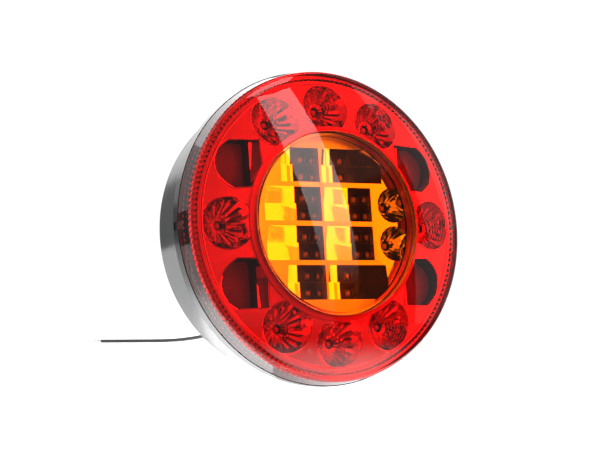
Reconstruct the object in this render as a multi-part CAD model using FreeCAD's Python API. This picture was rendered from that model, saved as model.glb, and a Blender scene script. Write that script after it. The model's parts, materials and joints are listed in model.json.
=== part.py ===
import FreeCAD, Part
import math
import os

from FreeCAD import Placement, Rotation, Vector

# Round LED trailer tail light, 140 mm across, standing on its edge as it does when it is set
# down: it leans back on its flange and on its rear rim, with the lens towards -Y.
#
# Every piece is modelled on the lamp's own axis and then stood up:
#   x  to the lamp's right, seen from in front of the lens
#   y  up the face of the lamp
#   z  out of the lens, zero at the seam between lens and housing
# All sizes are in millimetres.

# ---- housing
SEAM_RADIUS = 70.0          # lens skirt where it meets the housing
FLANGE_RADIUS = 70.3        # front band of the housing
FLANGE_BACK = -4.4          # rear edge of that band
FLANGE_LIP = 0.45           # step from the band down to the tapered wall
FLANGE_EASE = 0.2           # height of that step's slope
SEAT_WIDTH = 1.4            # inner rim beside the glue groove, and its depth below the band
SEAT_DEPTH = 0.4
SEAT_EASE = 2.0             # slope from that rim back to the wall
REAR_RADIUS = 64.0          # tapered wall at the back
REAR_DEPTH = 31.5           # seam to rear face
REAR_ROUND = 1.0            # round on the rear rim
HOUSING_WALL = 2.2
REAR_WALL = 2.5
SEAM_GAP = 0.2              # lens and housing each stay this far from the seam plane
PAD_RADIUS = 34.0           # flat middle of the rear face, which seats on the trailer
RIM_PAD_RADIUS = 57.5       # inner edge of the flat ring round the rear rim
RECESS_DEPTH = 1.0          # between pad and ring
RIB_COUNT = 12
RIB_WIDTH = 2.0

# ---- seam joint: a tongue on the lens glued into a groove in the housing
GROOVE_INNER = 67.3
GROOVE_OUTER = 69.2
GROOVE_DEPTH = 2.4
TONGUE_INNER = 67.7
TONGUE_OUTER = 68.8
TONGUE_DEPTH = 1.9

# ---- lenses
DOME_APEX = 20.0
DOME_RADIUS = 216.0
LENS_THICK = 2.6
SHOULDER_RADIUS = 69.05     # skirt just under the shoulder
SHOULDER_BASE = 6.9
SHOULDER_TOP_RADIUS = 66.9  # where the shoulder runs into the dome
SHOULDER_BULGE = 0.62       # how far its round stands out and up from a straight slope
RING_INNER = 64.9           # thick ring inside the edge of the red lens
RING_BACK = 2.6
RING_OUTER = 68.4
CENTER_RADIUS = 40.8        # opening in the red lens
CENTER_GAP = 0.15
CENTER_FLANGE = 42.8        # amber lens flange, glued behind the red lens
CENTER_FLANGE_THICK = 1.2
CENTER_SKIRT_WALL = 1.8
CENTER_SKIRT_BACK = 8.6
LUG_HALF = 1.8              # locating lug on the lens, in a slot of the housing's band
LUG_TOP = 3.4
LUG_BACK = -3.6
LUG_INNER = 69.0
LUG_CLEAR = 0.15

# ---- reflectors
PANEL_DROP = 4.0            # front of the outer reflector below the dome
PANEL_THICK = 1.4
PANEL_INNER = 41.0
PANEL_OUTER = 64.3
PANEL_RIM_WALL = 1.2
INNER_WALL = 0.8            # upright wall at the panel's inner edge
INNER_WALL_LOW = 3.0
BEAD_RING = 62.6            # raised bead near the panel's outer edge
BEAD_HALF = 0.5
BEAD_HEIGHT = 0.42
FLANGE_OUTER = 67.3         # flat flange of the panel, under the lens ring
FLANGE_TOP = 1.2
FLANGE_LOW = 0.2
CUP_COUNT = 12
CUP_PITCH_RADIUS = 51.6
CUP_RADIUS = 10.9
CUP_WALL = 1.1
CUP_THROAT = 2.9            # radius of the hole that the LED stands in
CUP_FLOOR = 0.4
CUP_BELLY = 0.72            # share of the mouth radius that a bowl reaches at CUP_BELLY_HEIGHT
CUP_BELLY_HEIGHT = 0.36
WINDOW_CLOCKS = (2, 4, 8, 10)
WINDOW_INSIDE = 38.0        # flat inner side of a window, from the middle of the lamp
WINDOW_OUTSIDE = 55.0
WINDOW_BULGE = 7.0
WINDOW_LOW = 15.2
WINDOW_HIGH = 36.0
WINDOW_FLOOR = 0.4
LEDGE_WIDTH = 3.2           # shallow step beside a window's flat side
LEDGE_FLOOR = 7.0
TROUGH_FACE = 8.2           # front of the centre reflector
TROUGH_FLOOR = 0.4
TROUGH_RADIUS = 40.7
TROUGH_SKIN = 1.1
TROUGH_FLOOR_SKIN = 0.8
TROUGH_WALL = 1.2           # wall round the centre reflector
ROW_PITCH = 17.2
ROW_COUNT = 4
ROW_OFFSET = 0.55           # middle of the rows above the lamp's axis
ROW_RIB = 2.1
LONG_ROW_LEFT = -32.5       # the two middle rows
LONG_ROW_RIGHT = 21.8
SHORT_ROW_LEFT = -23.4      # the top and bottom rows
SHORT_ROW_RIGHT = 28.1
CELL_SPLIT = -3.5           # rib between the left and right cell of a row
CELL_RIB = 1.0
LEFT_LED_X = -8.4           # LEDs of the left cells, and of the right cells
LONG_LED_X = 18.3
SHORT_LED_X = 12.0
LED_PAIR = 7.6              # between the two LEDs of a cell
LED_STRIP = 6.4             # flat floor round a cell's LEDs
LED_OPENING = 4.0           # opening in that floor for one LED
LED_OPENING_HEIGHT = 3.4
RAMP_SLOPE = 0.27           # drop of a cell's ramp per length
LONG_RAMPS = (19.0, 16.5)   # length of the left and right ramp of a long row
SHORT_RAMPS = (6.8, 6.6)
RAMP_STEP = 1.0             # the ramp's upper half is this much shorter
FAR_EDGE = 0.6              # least width of the slope up to a cell's far edge
BOWL_X = 33.0
BOWL_RADIUS = 7.9
BOWL_THROAT = 2.4

# ---- circuit board and what is on it
BOARD_RADIUS = 65.0
BOARD_TOP = -2.0
BOARD_THICK = 1.6
LED_LENGTH = 3.5
LED_WIDTH = 2.8
LED_BODY = 1.3
LED_DOME = 1.1
BOSS_PITCH_RADIUS = 58.5
BOSS_RADIUS = 3.4
BOSS_PILOT = 1.1
BOSS_PILOT_DEPTH = 9.0
BOSS_HOLE = 1.6             # hole in the board over a boss
POST_HOLE = 1.3
SCREW_HEAD_RADIUS = 2.6
SCREW_HEAD = 1.7
SCREW_LENGTH = 8.6
HEAD_CLEAR = 0.4            # round a screw head, in the outer reflector
POST_PITCH_RADIUS = 51.4
POST_COUNT = 3
POST_RADIUS = 2.2
POST_PILOT = 0.95
POST_SCREW_HEAD_RADIUS = 2.1
POST_SCREW_HEAD = 1.4
POST_SCREW_LENGTH = 6.6
SCREW_SLOT_LENGTH = 3.0     # cross recess in a screw head
SCREW_SLOT_WIDTH = 0.6
SCREW_SLOT_SHARE = 0.45     # its depth as a share of the head
RESISTOR = (3.2, 1.6, 0.6)  # length, width and height
RESISTOR_FIRST_X = -27.0
RESISTOR_PITCH = 6.0
RESISTORS_IN_ROW = 10
RESISTOR_ROWS = (34.0, 40.0)
DIODE = (4.6, 2.7, 2.2)
DIODE_FIRST_X = -18.0
DIODE_PITCH = 9.0
DIODE_COUNT = 4
DIODE_Y = -38.0
SUPPRESSOR = (7.0, 5.9, 2.4)
SUPPRESSOR_X = 24.0
REGULATOR = (6.6, 6.1, 2.3)
REGULATOR_X = 10.0
REGULATOR_Y = 16.0
CAPACITOR_RADIUS = 4.0
CAPACITOR_HEIGHT = 10.2
CAPACITOR_X = 38.0

# ---- fixings, vent and lead inlet on the rear face
STUD_RADIUS = 3.0
STUD_COLLAR_RADIUS = 3.6    # knurled collar moulded into the rear wall
STUD_CHAMFER = 0.8
STUD_SPACING = 45.0
STUD_OUT = 20.0
STUD_HEAD_FLATS = 10.0
STUD_HEAD = 4.0
STUD_BOSS_RADIUS = 8.5
STUD_BOSS_HEIGHT = 10.0
STUD_COVER = 1.5            # plastic over a stud's head
VENT_Y = 24.0
VENT_RADIUS = 4.0
VENT_POCKET = 1.6
VENT_BORE = 1.6
VENT_BOSS = 2.0             # height, and wall round the pocket
VENT_CAP_SINK = 0.2         # cap below the rear face
VENT_CAP = 0.8
VENT_CAP_WALL = 0.8
VENT_OPENING_RADIUS = 0.7
VENT_OPENING_PITCH = 1.7
MEMBRANE = 0.3
INLET_Y = -19.0
INLET_RADIUS = 7.0
INLET_BOSS = 3.0            # height inside the housing, and wall round the grommet's flange
GROMMET_FLANGE = 9.0
GROMMET_FLANGE_THICK = 1.6  # sunk in the rear face, so that the lamp seats flat
GROMMET_SINK = 0.2
GROMMET_ROOT = 5.6          # tail radius at the rear face, and at its end
GROMMET_END = 4.6
GROMMET_TAIL = 7.5
GROMMET_LIP = 1.4           # inner flange
LEAD_OFFSET = 2.6           # each of the four lead passages from the grommet's middle

# ---- lead, in the standing frame
LEAD_RADIUS = 0.85
CORE_RADIUS = 0.45
BARE_LENGTH = 3.6
STRIP_LENGTH = 1.5          # bare conductor under the board
SOLDER_RADIUS = 1.3
SOLDER_HEIGHT = 0.8
SOLDER_TAIL = 0.4           # conductor above the board
# The route leaves the grommet, drops behind the lamp, loops on the floor and ends to the left.
LEAD_ROUTE = (
    (2.0, 53.0, 29.5),
    (8.0, 67.0, 14.5),
    (17.0, 79.0, 3.6),
    (28.0, 91.0, LEAD_RADIUS),
    (37.0, 106.0, LEAD_RADIUS),
    (35.0, 121.5, LEAD_RADIUS),
    (21.5, 127.0, LEAD_RADIUS),
    (6.5, 115.5, LEAD_RADIUS),
    (-10.0, 108.8, LEAD_RADIUS),
    (-29.0, 110.6, LEAD_RADIUS),
    (-47.0, 112.8, LEAD_RADIUS),
)
LEAD_STRAIGHT = 14.0        # straight run out of the grommet

AXIS = Vector(0, 0, 1)
BACK = -REAR_DEPTH
BOARD_BACK = BOARD_TOP - BOARD_THICK
THROUGH = 1.0               # how far a cutting tool runs past the face that it cuts


# ---------------------------------------------------------------- helpers
def dome(radius, drop=0.0):
    """Height of the lens dome, lowered by drop, at a distance from the axis."""
    sag = DOME_RADIUS - math.sqrt(DOME_RADIUS**2 - radius**2)
    return DOME_APEX - drop - sag


def dome_arc(r_from, r_to, drop):
    """Arc along the dome between two distances from the axis, as one outline step."""
    middle = (r_from + r_to) / 2
    return ("arc", (middle, dome(middle, drop)), (r_to, dome(r_to, drop)))


def outline(steps):
    """Closed wire in the radius-height plane from points and ("arc", middle, end) steps."""
    def place(pair):
        return Vector(pair[0], 0, pair[1])

    edges = []
    here = place(steps[0])
    for step in list(steps[1:]) + [steps[0]]:
        if step[0] == "arc":
            end = place(step[2])
            edges.append(Part.Arc(here, place(step[1]), end).toShape())
        else:
            end = place(step)
            if end.distanceToPoint(here) > 0:
                edges.append(Part.LineSegment(here, end).toShape())
        here = end
    return Part.Wire(edges)


def lathe(steps):
    """Solid of revolution about the lamp's axis."""
    return Part.Face(outline(steps)).revolve(Vector(), AXIS, 360)


def disc(radius, low, high, x=0.0, y=0.0):
    """Upright cylinder between two heights."""
    return Part.makeCylinder(radius, high - low, Vector(x, y, low), AXIS)


def block(x0, x1, y0, y1, z0, z1):
    """Box between two corners."""
    return Part.makeBox(x1 - x0, y1 - y0, z1 - z0, Vector(x0, y0, z0))


def around(shape, angle):
    """Copy of a shape turned about the lamp's axis, in degrees."""
    turned = shape.copy()
    turned.rotate(Vector(), AXIS, angle)
    return turned


def clock_point(hour, radius):
    """Point at a clock position on the lamp's face."""
    angle = math.radians(30 * hour)
    return radius * math.sin(angle), radius * math.cos(angle)


# ---------------------------------------------------------------- housing
def stud(x):
    """One stud: hexagon head and collar held in the rear wall, and a shank out of the back."""
    head_low = BACK + STUD_BOSS_HEIGHT - STUD_HEAD - STUD_COVER
    reach = STUD_HEAD_FLATS / math.sqrt(3)
    corners = []
    for k in range(7):
        angle = math.radians(60 * k)
        corners.append(Vector(x + reach * math.cos(angle), reach * math.sin(angle), head_low))
    head = Part.Face(Part.makePolygon(corners)).extrude(AXIS * STUD_HEAD)
    tip = BACK - STUD_OUT
    collar = disc(STUD_COLLAR_RADIUS, BACK, head_low, x)
    shank = disc(STUD_RADIUS, tip + STUD_CHAMFER, BACK, x)
    point = Part.makeCone(STUD_RADIUS - STUD_CHAMFER, STUD_RADIUS, STUD_CHAMFER,
                          Vector(x, 0, tip), AXIS)
    return head.fuse([collar, shank, point]).removeSplitter()


def stud_places():
    return (-STUD_SPACING / 2, STUD_SPACING / 2)


def boss_places():
    return [clock_point(1.5 + 3 * k, BOSS_PITCH_RADIUS) for k in range(4)]


def housing_shell():
    """Turned cup: rear face, tapered wall, flange band and glue groove."""
    slope = (FLANGE_RADIUS - FLANGE_LIP - REAR_RADIUS) / (REAR_DEPTH + FLANGE_BACK - REAR_ROUND)
    floor = BACK + REAR_WALL
    seat_inner = GROOVE_INNER - SEAT_WIDTH
    seat_low = FLANGE_BACK - SEAT_DEPTH
    inner_top = FLANGE_RADIUS - FLANGE_LIP - HOUSING_WALL
    inner_low = REAR_RADIUS - HOUSING_WALL + slope * REAR_WALL
    turn = REAR_ROUND * (1 - math.sqrt(0.5))
    return lathe([
        (0, BACK),
        (REAR_RADIUS - REAR_ROUND, BACK),
        ("arc", (REAR_RADIUS - turn, BACK + turn), (REAR_RADIUS, BACK + REAR_ROUND)),
        (FLANGE_RADIUS - FLANGE_LIP, FLANGE_BACK - FLANGE_EASE),
        (FLANGE_RADIUS, FLANGE_BACK),
        (FLANGE_RADIUS, -SEAM_GAP),
        (GROOVE_OUTER, -SEAM_GAP),
        (GROOVE_OUTER, -GROOVE_DEPTH),
        (GROOVE_INNER, -GROOVE_DEPTH),
        (GROOVE_INNER, -SEAM_GAP),
        (seat_inner, -SEAM_GAP),
        (seat_inner, seat_low),
        (inner_top, seat_low - SEAT_EASE),
        (inner_low, floor),
        (0, floor),
    ])


def rear_recess():
    """Shallow ring sunk in the rear face, crossed by stiffening ribs."""
    low = BACK - THROUGH
    high = BACK + RECESS_DEPTH
    ring = disc(RIM_PAD_RADIUS, low, high).cut(disc(PAD_RADIUS, low, high))
    rib = block(-RIB_WIDTH / 2, RIB_WIDTH / 2, 0, REAR_RADIUS, low, high)
    ribs = [around(rib, (k + 0.5) * 360 / RIB_COUNT) for k in range(RIB_COUNT)]
    return ring.cut(ribs)


def locating_lug(margin, outer):
    """Lug at nine o'clock on the lens skirt, which reaches back over the housing's band."""
    low = LUG_BACK - margin
    ring = disc(outer, low, LUG_TOP).cut(disc(LUG_INNER - margin, low, LUG_TOP))
    half = LUG_HALF + margin
    return ring.common(block(-outer, 0, -half, half, low, LUG_TOP))


def rear_housing():
    """Cup with bosses for the board, the studs, the lead inlet and the vent."""
    floor = BACK + REAR_WALL
    rooted = floor - THROUGH
    flange_seat = BACK + GROMMET_SINK + GROMMET_FLANGE_THICK
    solid = [disc(BOSS_RADIUS, rooted, BOARD_BACK, x, y) for x, y in boss_places()]
    solid += [disc(STUD_BOSS_RADIUS, rooted, BACK + STUD_BOSS_HEIGHT, x) for x in stud_places()]
    solid.append(disc(GROMMET_FLANGE + INLET_BOSS, rooted, floor + INLET_BOSS, 0, INLET_Y))
    solid.append(disc(VENT_RADIUS + VENT_BOSS, rooted, floor + VENT_BOSS, 0, VENT_Y))
    shell = housing_shell().fuse(solid)
    gone = [disc(BOSS_PILOT, BOARD_BACK - BOSS_PILOT_DEPTH, BOARD_BACK, x, y)
            for x, y in boss_places()]
    gone += [stud(x) for x in stud_places()]
    gone.append(disc(INLET_RADIUS, BACK, floor + INLET_BOSS, 0, INLET_Y))
    gone.append(disc(GROMMET_FLANGE, BACK - THROUGH, flange_seat, 0, INLET_Y))
    gone.append(disc(VENT_RADIUS, BACK - THROUGH, BACK + VENT_POCKET, 0, VENT_Y))
    gone.append(disc(VENT_BORE, BACK, floor + VENT_BOSS + THROUGH, 0, VENT_Y))
    gone.append(rear_recess())
    gone.append(locating_lug(LUG_CLEAR, FLANGE_RADIUS + THROUGH))
    return shell.cut(gone)


# ---------------------------------------------------------------- lenses
def outer_lens():
    """Red lens: dome with a round opening, shoulder, thick ring and tongue."""
    top = dome(SHOULDER_TOP_RADIUS)
    mid = (SHOULDER_RADIUS - SHOULDER_BULGE, (SHOULDER_BASE + top) / 2 + SHOULDER_BULGE)
    body = lathe([
        (SEAM_RADIUS, SEAM_GAP),
        (SHOULDER_RADIUS, SHOULDER_BASE),
        ("arc", mid, (SHOULDER_TOP_RADIUS, top)),
        dome_arc(SHOULDER_TOP_RADIUS, CENTER_RADIUS, 0),
        (CENTER_RADIUS, dome(CENTER_RADIUS, LENS_THICK)),
        dome_arc(CENTER_RADIUS, RING_INNER, LENS_THICK),
        (RING_INNER, RING_BACK),
        (RING_OUTER, RING_BACK),
        (TONGUE_INNER, SEAM_GAP),
        (TONGUE_INNER, -TONGUE_DEPTH),
        (TONGUE_OUTER, -TONGUE_DEPTH),
        (TONGUE_OUTER, SEAM_GAP),
    ])
    return body.fuse(locating_lug(0, FLANGE_RADIUS))


def center_lens():
    """Amber lens: dome, flange behind the red lens and a skirt down to the centre reflector."""
    edge = CENTER_RADIUS - CENTER_GAP
    behind = LENS_THICK + CENTER_GAP / 2
    inside = edge - CENTER_SKIRT_WALL
    return lathe([
        (0, dome(0)),
        dome_arc(0, edge, 0),
        (edge, dome(edge, behind)),
        (CENTER_FLANGE, dome(CENTER_FLANGE, behind)),
        (CENTER_FLANGE, dome(CENTER_FLANGE, behind + CENTER_FLANGE_THICK)),
        (edge, dome(edge, behind + CENTER_FLANGE_THICK)),
        (edge, CENTER_SKIRT_BACK),
        (inside, CENTER_SKIRT_BACK),
        (inside, dome(inside, LENS_THICK)),
        dome_arc(inside, 0, LENS_THICK),
    ])


def seam_sealant():
    """Glue in the groove, round the lens tongue."""
    return lathe([
        (GROOVE_INNER, -GROOVE_DEPTH),
        (GROOVE_OUTER, -GROOVE_DEPTH),
        (GROOVE_OUTER, -SEAM_GAP),
        (GROOVE_OUTER, SEAM_GAP),
        (TONGUE_OUTER, SEAM_GAP),
        (TONGUE_OUTER, -TONGUE_DEPTH),
        (TONGUE_INNER, -TONGUE_DEPTH),
        (TONGUE_INNER, -SEAM_GAP),
        (GROOVE_INNER, -SEAM_GAP),
    ]).cut(locating_lug(0, FLANGE_RADIUS))


# ---------------------------------------------------------------- outer reflector
def cup(margin):
    """Round bowl under a cup opening, widened by a margin, standing at the origin."""
    rim = dome(CUP_PITCH_RADIUS - CUP_RADIUS, PANEL_DROP) + 2 * THROUGH
    throat = CUP_THROAT + margin
    mouth = CUP_RADIUS + margin
    belly = (CUP_RADIUS * CUP_BELLY + margin, CUP_FLOOR + (rim - CUP_FLOOR) * CUP_BELLY_HEIGHT)
    return lathe([
        (0, CUP_FLOOR - THROUGH),
        (throat, CUP_FLOOR - THROUGH),
        (throat, CUP_FLOOR),
        ("arc", belly, (mouth, rim)),
        (0, rim),
    ])


def window(side, level, margin):
    """D-shaped pocket: flat towards the lamp's middle, round towards its edge."""
    low = WINDOW_LOW - margin
    high = WINDOW_HIGH + margin
    inner = WINDOW_INSIDE - margin
    outer = WINDOW_OUTSIDE + margin
    edge = outer - WINDOW_BULGE
    y0, y1 = sorted((level * low, level * high))
    middle = (y0 + y1) / 2
    edges = [
        Part.LineSegment(Vector(side * inner, y0, 0), Vector(side * edge, y0, 0)).toShape(),
        Part.Arc(Vector(side * edge, y0, 0), Vector(side * outer, middle, 0),
                 Vector(side * edge, y1, 0)).toShape(),
        Part.LineSegment(Vector(side * edge, y1, 0), Vector(side * inner, y1, 0)).toShape(),
        Part.LineSegment(Vector(side * inner, y1, 0), Vector(side * inner, y0, 0)).toShape(),
    ]
    face = Part.Face(Part.Wire(edges))
    face.translate(Vector(0, 0, WINDOW_FLOOR - (CUP_WALL if margin else 0)))
    return face.extrude(AXIS * (DOME_APEX - WINDOW_FLOOR))


def window_ledge(side, level, margin):
    """Shallow pocket beside a window's flat side."""
    xs = sorted((side * (WINDOW_INSIDE - LEDGE_WIDTH - margin), side * (WINDOW_INSIDE + THROUGH)))
    ys = sorted((level * (WINDOW_LOW - margin), level * (WINDOW_HIGH + margin)))
    floor = LEDGE_FLOOR - (PANEL_THICK if margin else 0)
    return block(*xs, *ys, floor, DOME_APEX)


def window_sides():
    return [(side, level) for side in (-1, 1) for level in (-1, 1)]


def bowl_hours():
    return [hour for hour in range(1, CUP_COUNT + 1) if hour not in WINDOW_CLOCKS]


def reflector_space():
    """Everything between the board and the front of the outer reflector."""
    return lathe([
        (PANEL_INNER, BOARD_TOP),
        (PANEL_OUTER, BOARD_TOP),
        (PANEL_OUTER, dome(PANEL_OUTER, PANEL_DROP)),
        dome_arc(PANEL_OUTER, PANEL_INNER, PANEL_DROP),
    ])


def post_places():
    return [clock_point(0.5 + 4 * k, POST_PITCH_RADIUS) for k in range(POST_COUNT)]


def panel_bead():
    """Raised bead near the panel's outer edge, with its foot inside the panel."""
    foot = PANEL_DROP + PANEL_THICK / 2
    inner = BEAD_RING - BEAD_HALF
    outer = BEAD_RING + BEAD_HALF
    crest = (BEAD_RING, dome(BEAD_RING, PANEL_DROP) + BEAD_HEIGHT)
    return lathe([
        (inner, dome(inner, foot)),
        (inner, dome(inner, PANEL_DROP)),
        ("arc", crest, (outer, dome(outer, PANEL_DROP))),
        (outer, dome(outer, foot)),
    ])


def outer_reflector():
    """Moulded panel that follows the dome, with a rim, eight bowls and four windows."""
    inner = PANEL_INNER
    outer = PANEL_OUTER
    low = PANEL_DROP + PANEL_THICK
    wall = inner + INNER_WALL
    panel = lathe([
        (inner, INNER_WALL_LOW),
        (inner, dome(inner, PANEL_DROP)),
        dome_arc(inner, outer, PANEL_DROP),
        (outer, FLANGE_TOP),
        (FLANGE_OUTER, FLANGE_TOP),
        (FLANGE_OUTER, FLANGE_LOW),
        (outer, FLANGE_LOW),
        (outer, BOARD_TOP),
        (outer - PANEL_RIM_WALL, BOARD_TOP),
        (outer - PANEL_RIM_WALL, dome(outer - PANEL_RIM_WALL, low)),
        dome_arc(outer - PANEL_RIM_WALL, wall, low),
        (wall, INNER_WALL_LOW),
    ])
    skins = []
    gone = []
    for hour in bowl_hours():
        x, y = clock_point(hour, CUP_PITCH_RADIUS)
        for shapes, margin in ((skins, CUP_WALL), (gone, 0)):
            shape = cup(margin)
            shape.translate(Vector(x, y, 0))
            shapes.append(shape)
    for side, level in window_sides():
        for pocket in (window, window_ledge):
            skins.append(pocket(side, level, CUP_WALL))
            gone.append(pocket(side, level, 0))
    reach = (BOARD_TOP - THROUGH, DOME_APEX + THROUGH)
    beyond_wall = disc(outer, *reach).cut(disc(wall, *reach))
    gone = [shape.common(beyond_wall) for shape in gone]
    post_top = dome(POST_PITCH_RADIUS, low) + PANEL_THICK / 2
    skins += [disc(POST_RADIUS, BOARD_TOP, post_top, x, y) for x, y in post_places()]
    body = skins[0].fuse(skins[1:]).common(reflector_space())
    body = panel.fuse([body, panel_bead()]).cut(gone)
    pilot_top = BOARD_TOP + POST_SCREW_LENGTH - BOARD_THICK + THROUGH
    pilots = [disc(POST_PILOT, BOARD_TOP, pilot_top, x, y) for x, y in post_places()]
    heads = [disc(SCREW_HEAD_RADIUS + HEAD_CLEAR, BOARD_TOP, BOARD_TOP + SCREW_HEAD + HEAD_CLEAR,
                  x, y) for x, y in boss_places()]
    return body.cut(pilots + heads)


# ---------------------------------------------------------------- centre reflector
def trough_rows():
    """Middle height of each row, from the bottom up, and whether it is one of the long ones."""
    first = ROW_OFFSET - ROW_PITCH * (ROW_COUNT - 1) / 2
    return [(first + row * ROW_PITCH, 0 < row < ROW_COUNT - 1) for row in range(ROW_COUNT)]


def trough_cells():
    """Mouth (x0, x1, y0, y1), LED place and ramp length of each cell of the rows."""
    cells = []
    half = (ROW_PITCH - ROW_RIB) / 2
    for middle, is_long in trough_rows():
        left = LONG_ROW_LEFT if is_long else SHORT_ROW_LEFT
        right = LONG_ROW_RIGHT if is_long else SHORT_ROW_RIGHT
        right_led = LONG_LED_X if is_long else SHORT_LED_X
        left_ramp, right_ramp = LONG_RAMPS if is_long else SHORT_RAMPS
        y0, y1 = middle - half, middle + half
        cells.append((left, CELL_SPLIT - CELL_RIB / 2, y0, y1, LEFT_LED_X, left_ramp))
        cells.append((CELL_SPLIT + CELL_RIB / 2, right, y0, y1, right_led, right_ramp))
    return cells


def cell_led_places(cell):
    """Places of a cell's two LEDs, one above the other."""
    _, _, y0, y1, led_x, _ = cell
    return [(led_x, (y0 + y1) / 2 + side * LED_PAIR / 2) for side in (-1, 1)]


def cell_solid(cell, y0, y1, shorter, skin):
    """Hollow of a cell between two heights up the face, or with a skin its outer shape: a gentle
    ramp, a step down to the flat floor round the LEDs, and a slope up to the far edge."""
    x0, x1, _, _, led_x, length = cell
    drop = length * RAMP_SLOPE
    step = x0 + length - shorter - skin
    floor = TROUGH_FLOOR - (TROUGH_FLOOR_SKIN if skin else 0)
    floor_end = min(led_x + LED_STRIP / 2, x1 - FAR_EDGE) + skin
    sides = [
        (x0 - skin, TROUGH_FACE),
        (x0 - skin, TROUGH_FACE - skin),
        (step, TROUGH_FACE - drop - skin),
        (step, floor),
        (floor_end, floor),
        (x1 + skin, TROUGH_FACE),
    ]
    if not skin:
        del sides[1]
    corners = [Vector(x, y0 - skin, z) for x, z in sides]
    face = Part.Face(Part.makePolygon(corners + corners[:1]))
    return face.extrude(Vector(0, y1 - y0 + 2 * skin, 0))


def bowl_places():
    """Middles of the two small bowls at the right-hand end of the long rows."""
    return [(BOWL_X, ROW_OFFSET + side * ROW_PITCH / 2) for side in (-1, 1)]


def small_bowl(margin):
    """Small round bowl standing at the origin."""
    belly = TROUGH_FLOOR + (TROUGH_FACE - TROUGH_FLOOR) * CUP_BELLY_HEIGHT
    throat = BOWL_THROAT + margin
    return lathe([
        (0, TROUGH_FLOOR - THROUGH),
        (throat, TROUGH_FLOOR - THROUGH),
        (throat, TROUGH_FLOOR),
        ("arc", (BOWL_RADIUS * CUP_BELLY + margin, belly), (BOWL_RADIUS + margin, TROUGH_FACE)),
        (0, TROUGH_FACE),
    ])


def center_reflector():
    """Plate with four rows of cells, each in an upper and a lower half, and two small bowls."""
    plate = disc(TROUGH_RADIUS, TROUGH_FACE - TROUGH_SKIN, TROUGH_FACE)
    under = TROUGH_FLOOR - TROUGH_FLOOR_SKIN
    skins = []
    gone = []
    for cell in trough_cells():
        _, _, y0, y1, _, _ = cell
        middle = (y0 + y1) / 2
        skins.append(cell_solid(cell, y0, y1, 0, TROUGH_SKIN))
        gone.append(cell_solid(cell, y0, middle, 0, 0))
        gone.append(cell_solid(cell, middle, y1, RAMP_STEP, 0))
        for x, y in cell_led_places(cell):
            gone.append(block(x - LED_OPENING / 2, x + LED_OPENING / 2, y - LED_OPENING_HEIGHT / 2,
                              y + LED_OPENING_HEIGHT / 2, under - THROUGH, TROUGH_FLOOR + THROUGH))
    for x, y in bowl_places():
        for shapes, margin in ((skins, TROUGH_SKIN), (gone, 0)):
            shape = small_bowl(margin)
            shape.translate(Vector(x, y, 0))
            shapes.append(shape)
    wall = disc(TROUGH_RADIUS, BOARD_TOP, TROUGH_FACE)
    wall = wall.cut(disc(TROUGH_RADIUS - TROUGH_WALL, BOARD_TOP, TROUGH_FACE))
    body = plate.fuse(skins).common(disc(TROUGH_RADIUS, under, TROUGH_FACE))
    return body.cut(gone).fuse(wall)


# ---------------------------------------------------------------- electronics
def circuit_board():
    """Round board with holes for its screws, the reflector's screws and the lead."""
    board = disc(BOARD_RADIUS, BOARD_BACK, BOARD_TOP)
    holes = [disc(BOSS_HOLE, BOARD_BACK, BOARD_TOP, x, y) for x, y in boss_places()]
    holes += [disc(POST_HOLE, BOARD_BACK, BOARD_TOP, x, y) for x, y in post_places()]
    holes.append(disc(CORE_RADIUS, BOARD_BACK, BOARD_TOP, *pad_place()))
    return board.cut(holes)


def led(x, y, turn=0.0):
    """Surface-mounted LED: a flat body with a clear dome."""
    body = block(-LED_LENGTH / 2, LED_LENGTH / 2, -LED_WIDTH / 2, LED_WIDTH / 2, 0, LED_BODY)
    bulb = Part.makeSphere(LED_DOME, Vector(0, 0, LED_BODY), AXIS, 0, 90, 360)
    shape = body.fuse(bulb)
    shape.rotate(Vector(), AXIS, turn)
    shape.translate(Vector(x, y, BOARD_TOP))
    return shape


def outer_leds():
    return [led(*clock_point(hour, CUP_PITCH_RADIUS), -30 * hour) for hour in bowl_hours()]


def center_leds():
    """Two LEDs in each cell of the rows and one in each small bowl."""
    places = bowl_places()
    for cell in trough_cells():
        places += cell_led_places(cell)
    return [led(x, y) for x, y in places]


def under_board(size, x, y):
    """Block-shaped component soldered to the back of the board."""
    length, width, height = size
    return block(x - length / 2, x + length / 2, y - width / 2, y + width / 2,
                 BOARD_BACK - height, BOARD_BACK)


def resistors():
    """Two rows of chip resistors that set the LED currents."""
    return [under_board(RESISTOR, RESISTOR_FIRST_X + RESISTOR_PITCH * k, y)
            for y in RESISTOR_ROWS for k in range(RESISTORS_IN_ROW)]


def diodes():
    """Four blocking diodes and one surge suppressor."""
    small = [under_board(DIODE, DIODE_FIRST_X + DIODE_PITCH * k, DIODE_Y)
             for k in range(DIODE_COUNT)]
    return small + [under_board(SUPPRESSOR, SUPPRESSOR_X, DIODE_Y)]


def driver_chips():
    """Two current regulators in flat packages."""
    return [under_board(REGULATOR, x, REGULATOR_Y) for x in (-REGULATOR_X, REGULATOR_X)]


def capacitors():
    """Two upright electrolytic capacitors on the back of the board."""
    return [disc(CAPACITOR_RADIUS, BOARD_BACK - CAPACITOR_HEIGHT, BOARD_BACK, x, REGULATOR_Y)
            for x in (-CAPACITOR_X, CAPACITOR_X)]


def pad_place():
    """Solder pad of the lead on the board."""
    return LEAD_OFFSET, INLET_Y + LEAD_OFFSET


# ---------------------------------------------------------------- fasteners
def rod(radius, start, length, direction, x, y):
    """Cylinder that runs from a height up or down."""
    end = start + direction * length
    return disc(radius, min(start, end), max(start, end), x, y)


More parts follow.
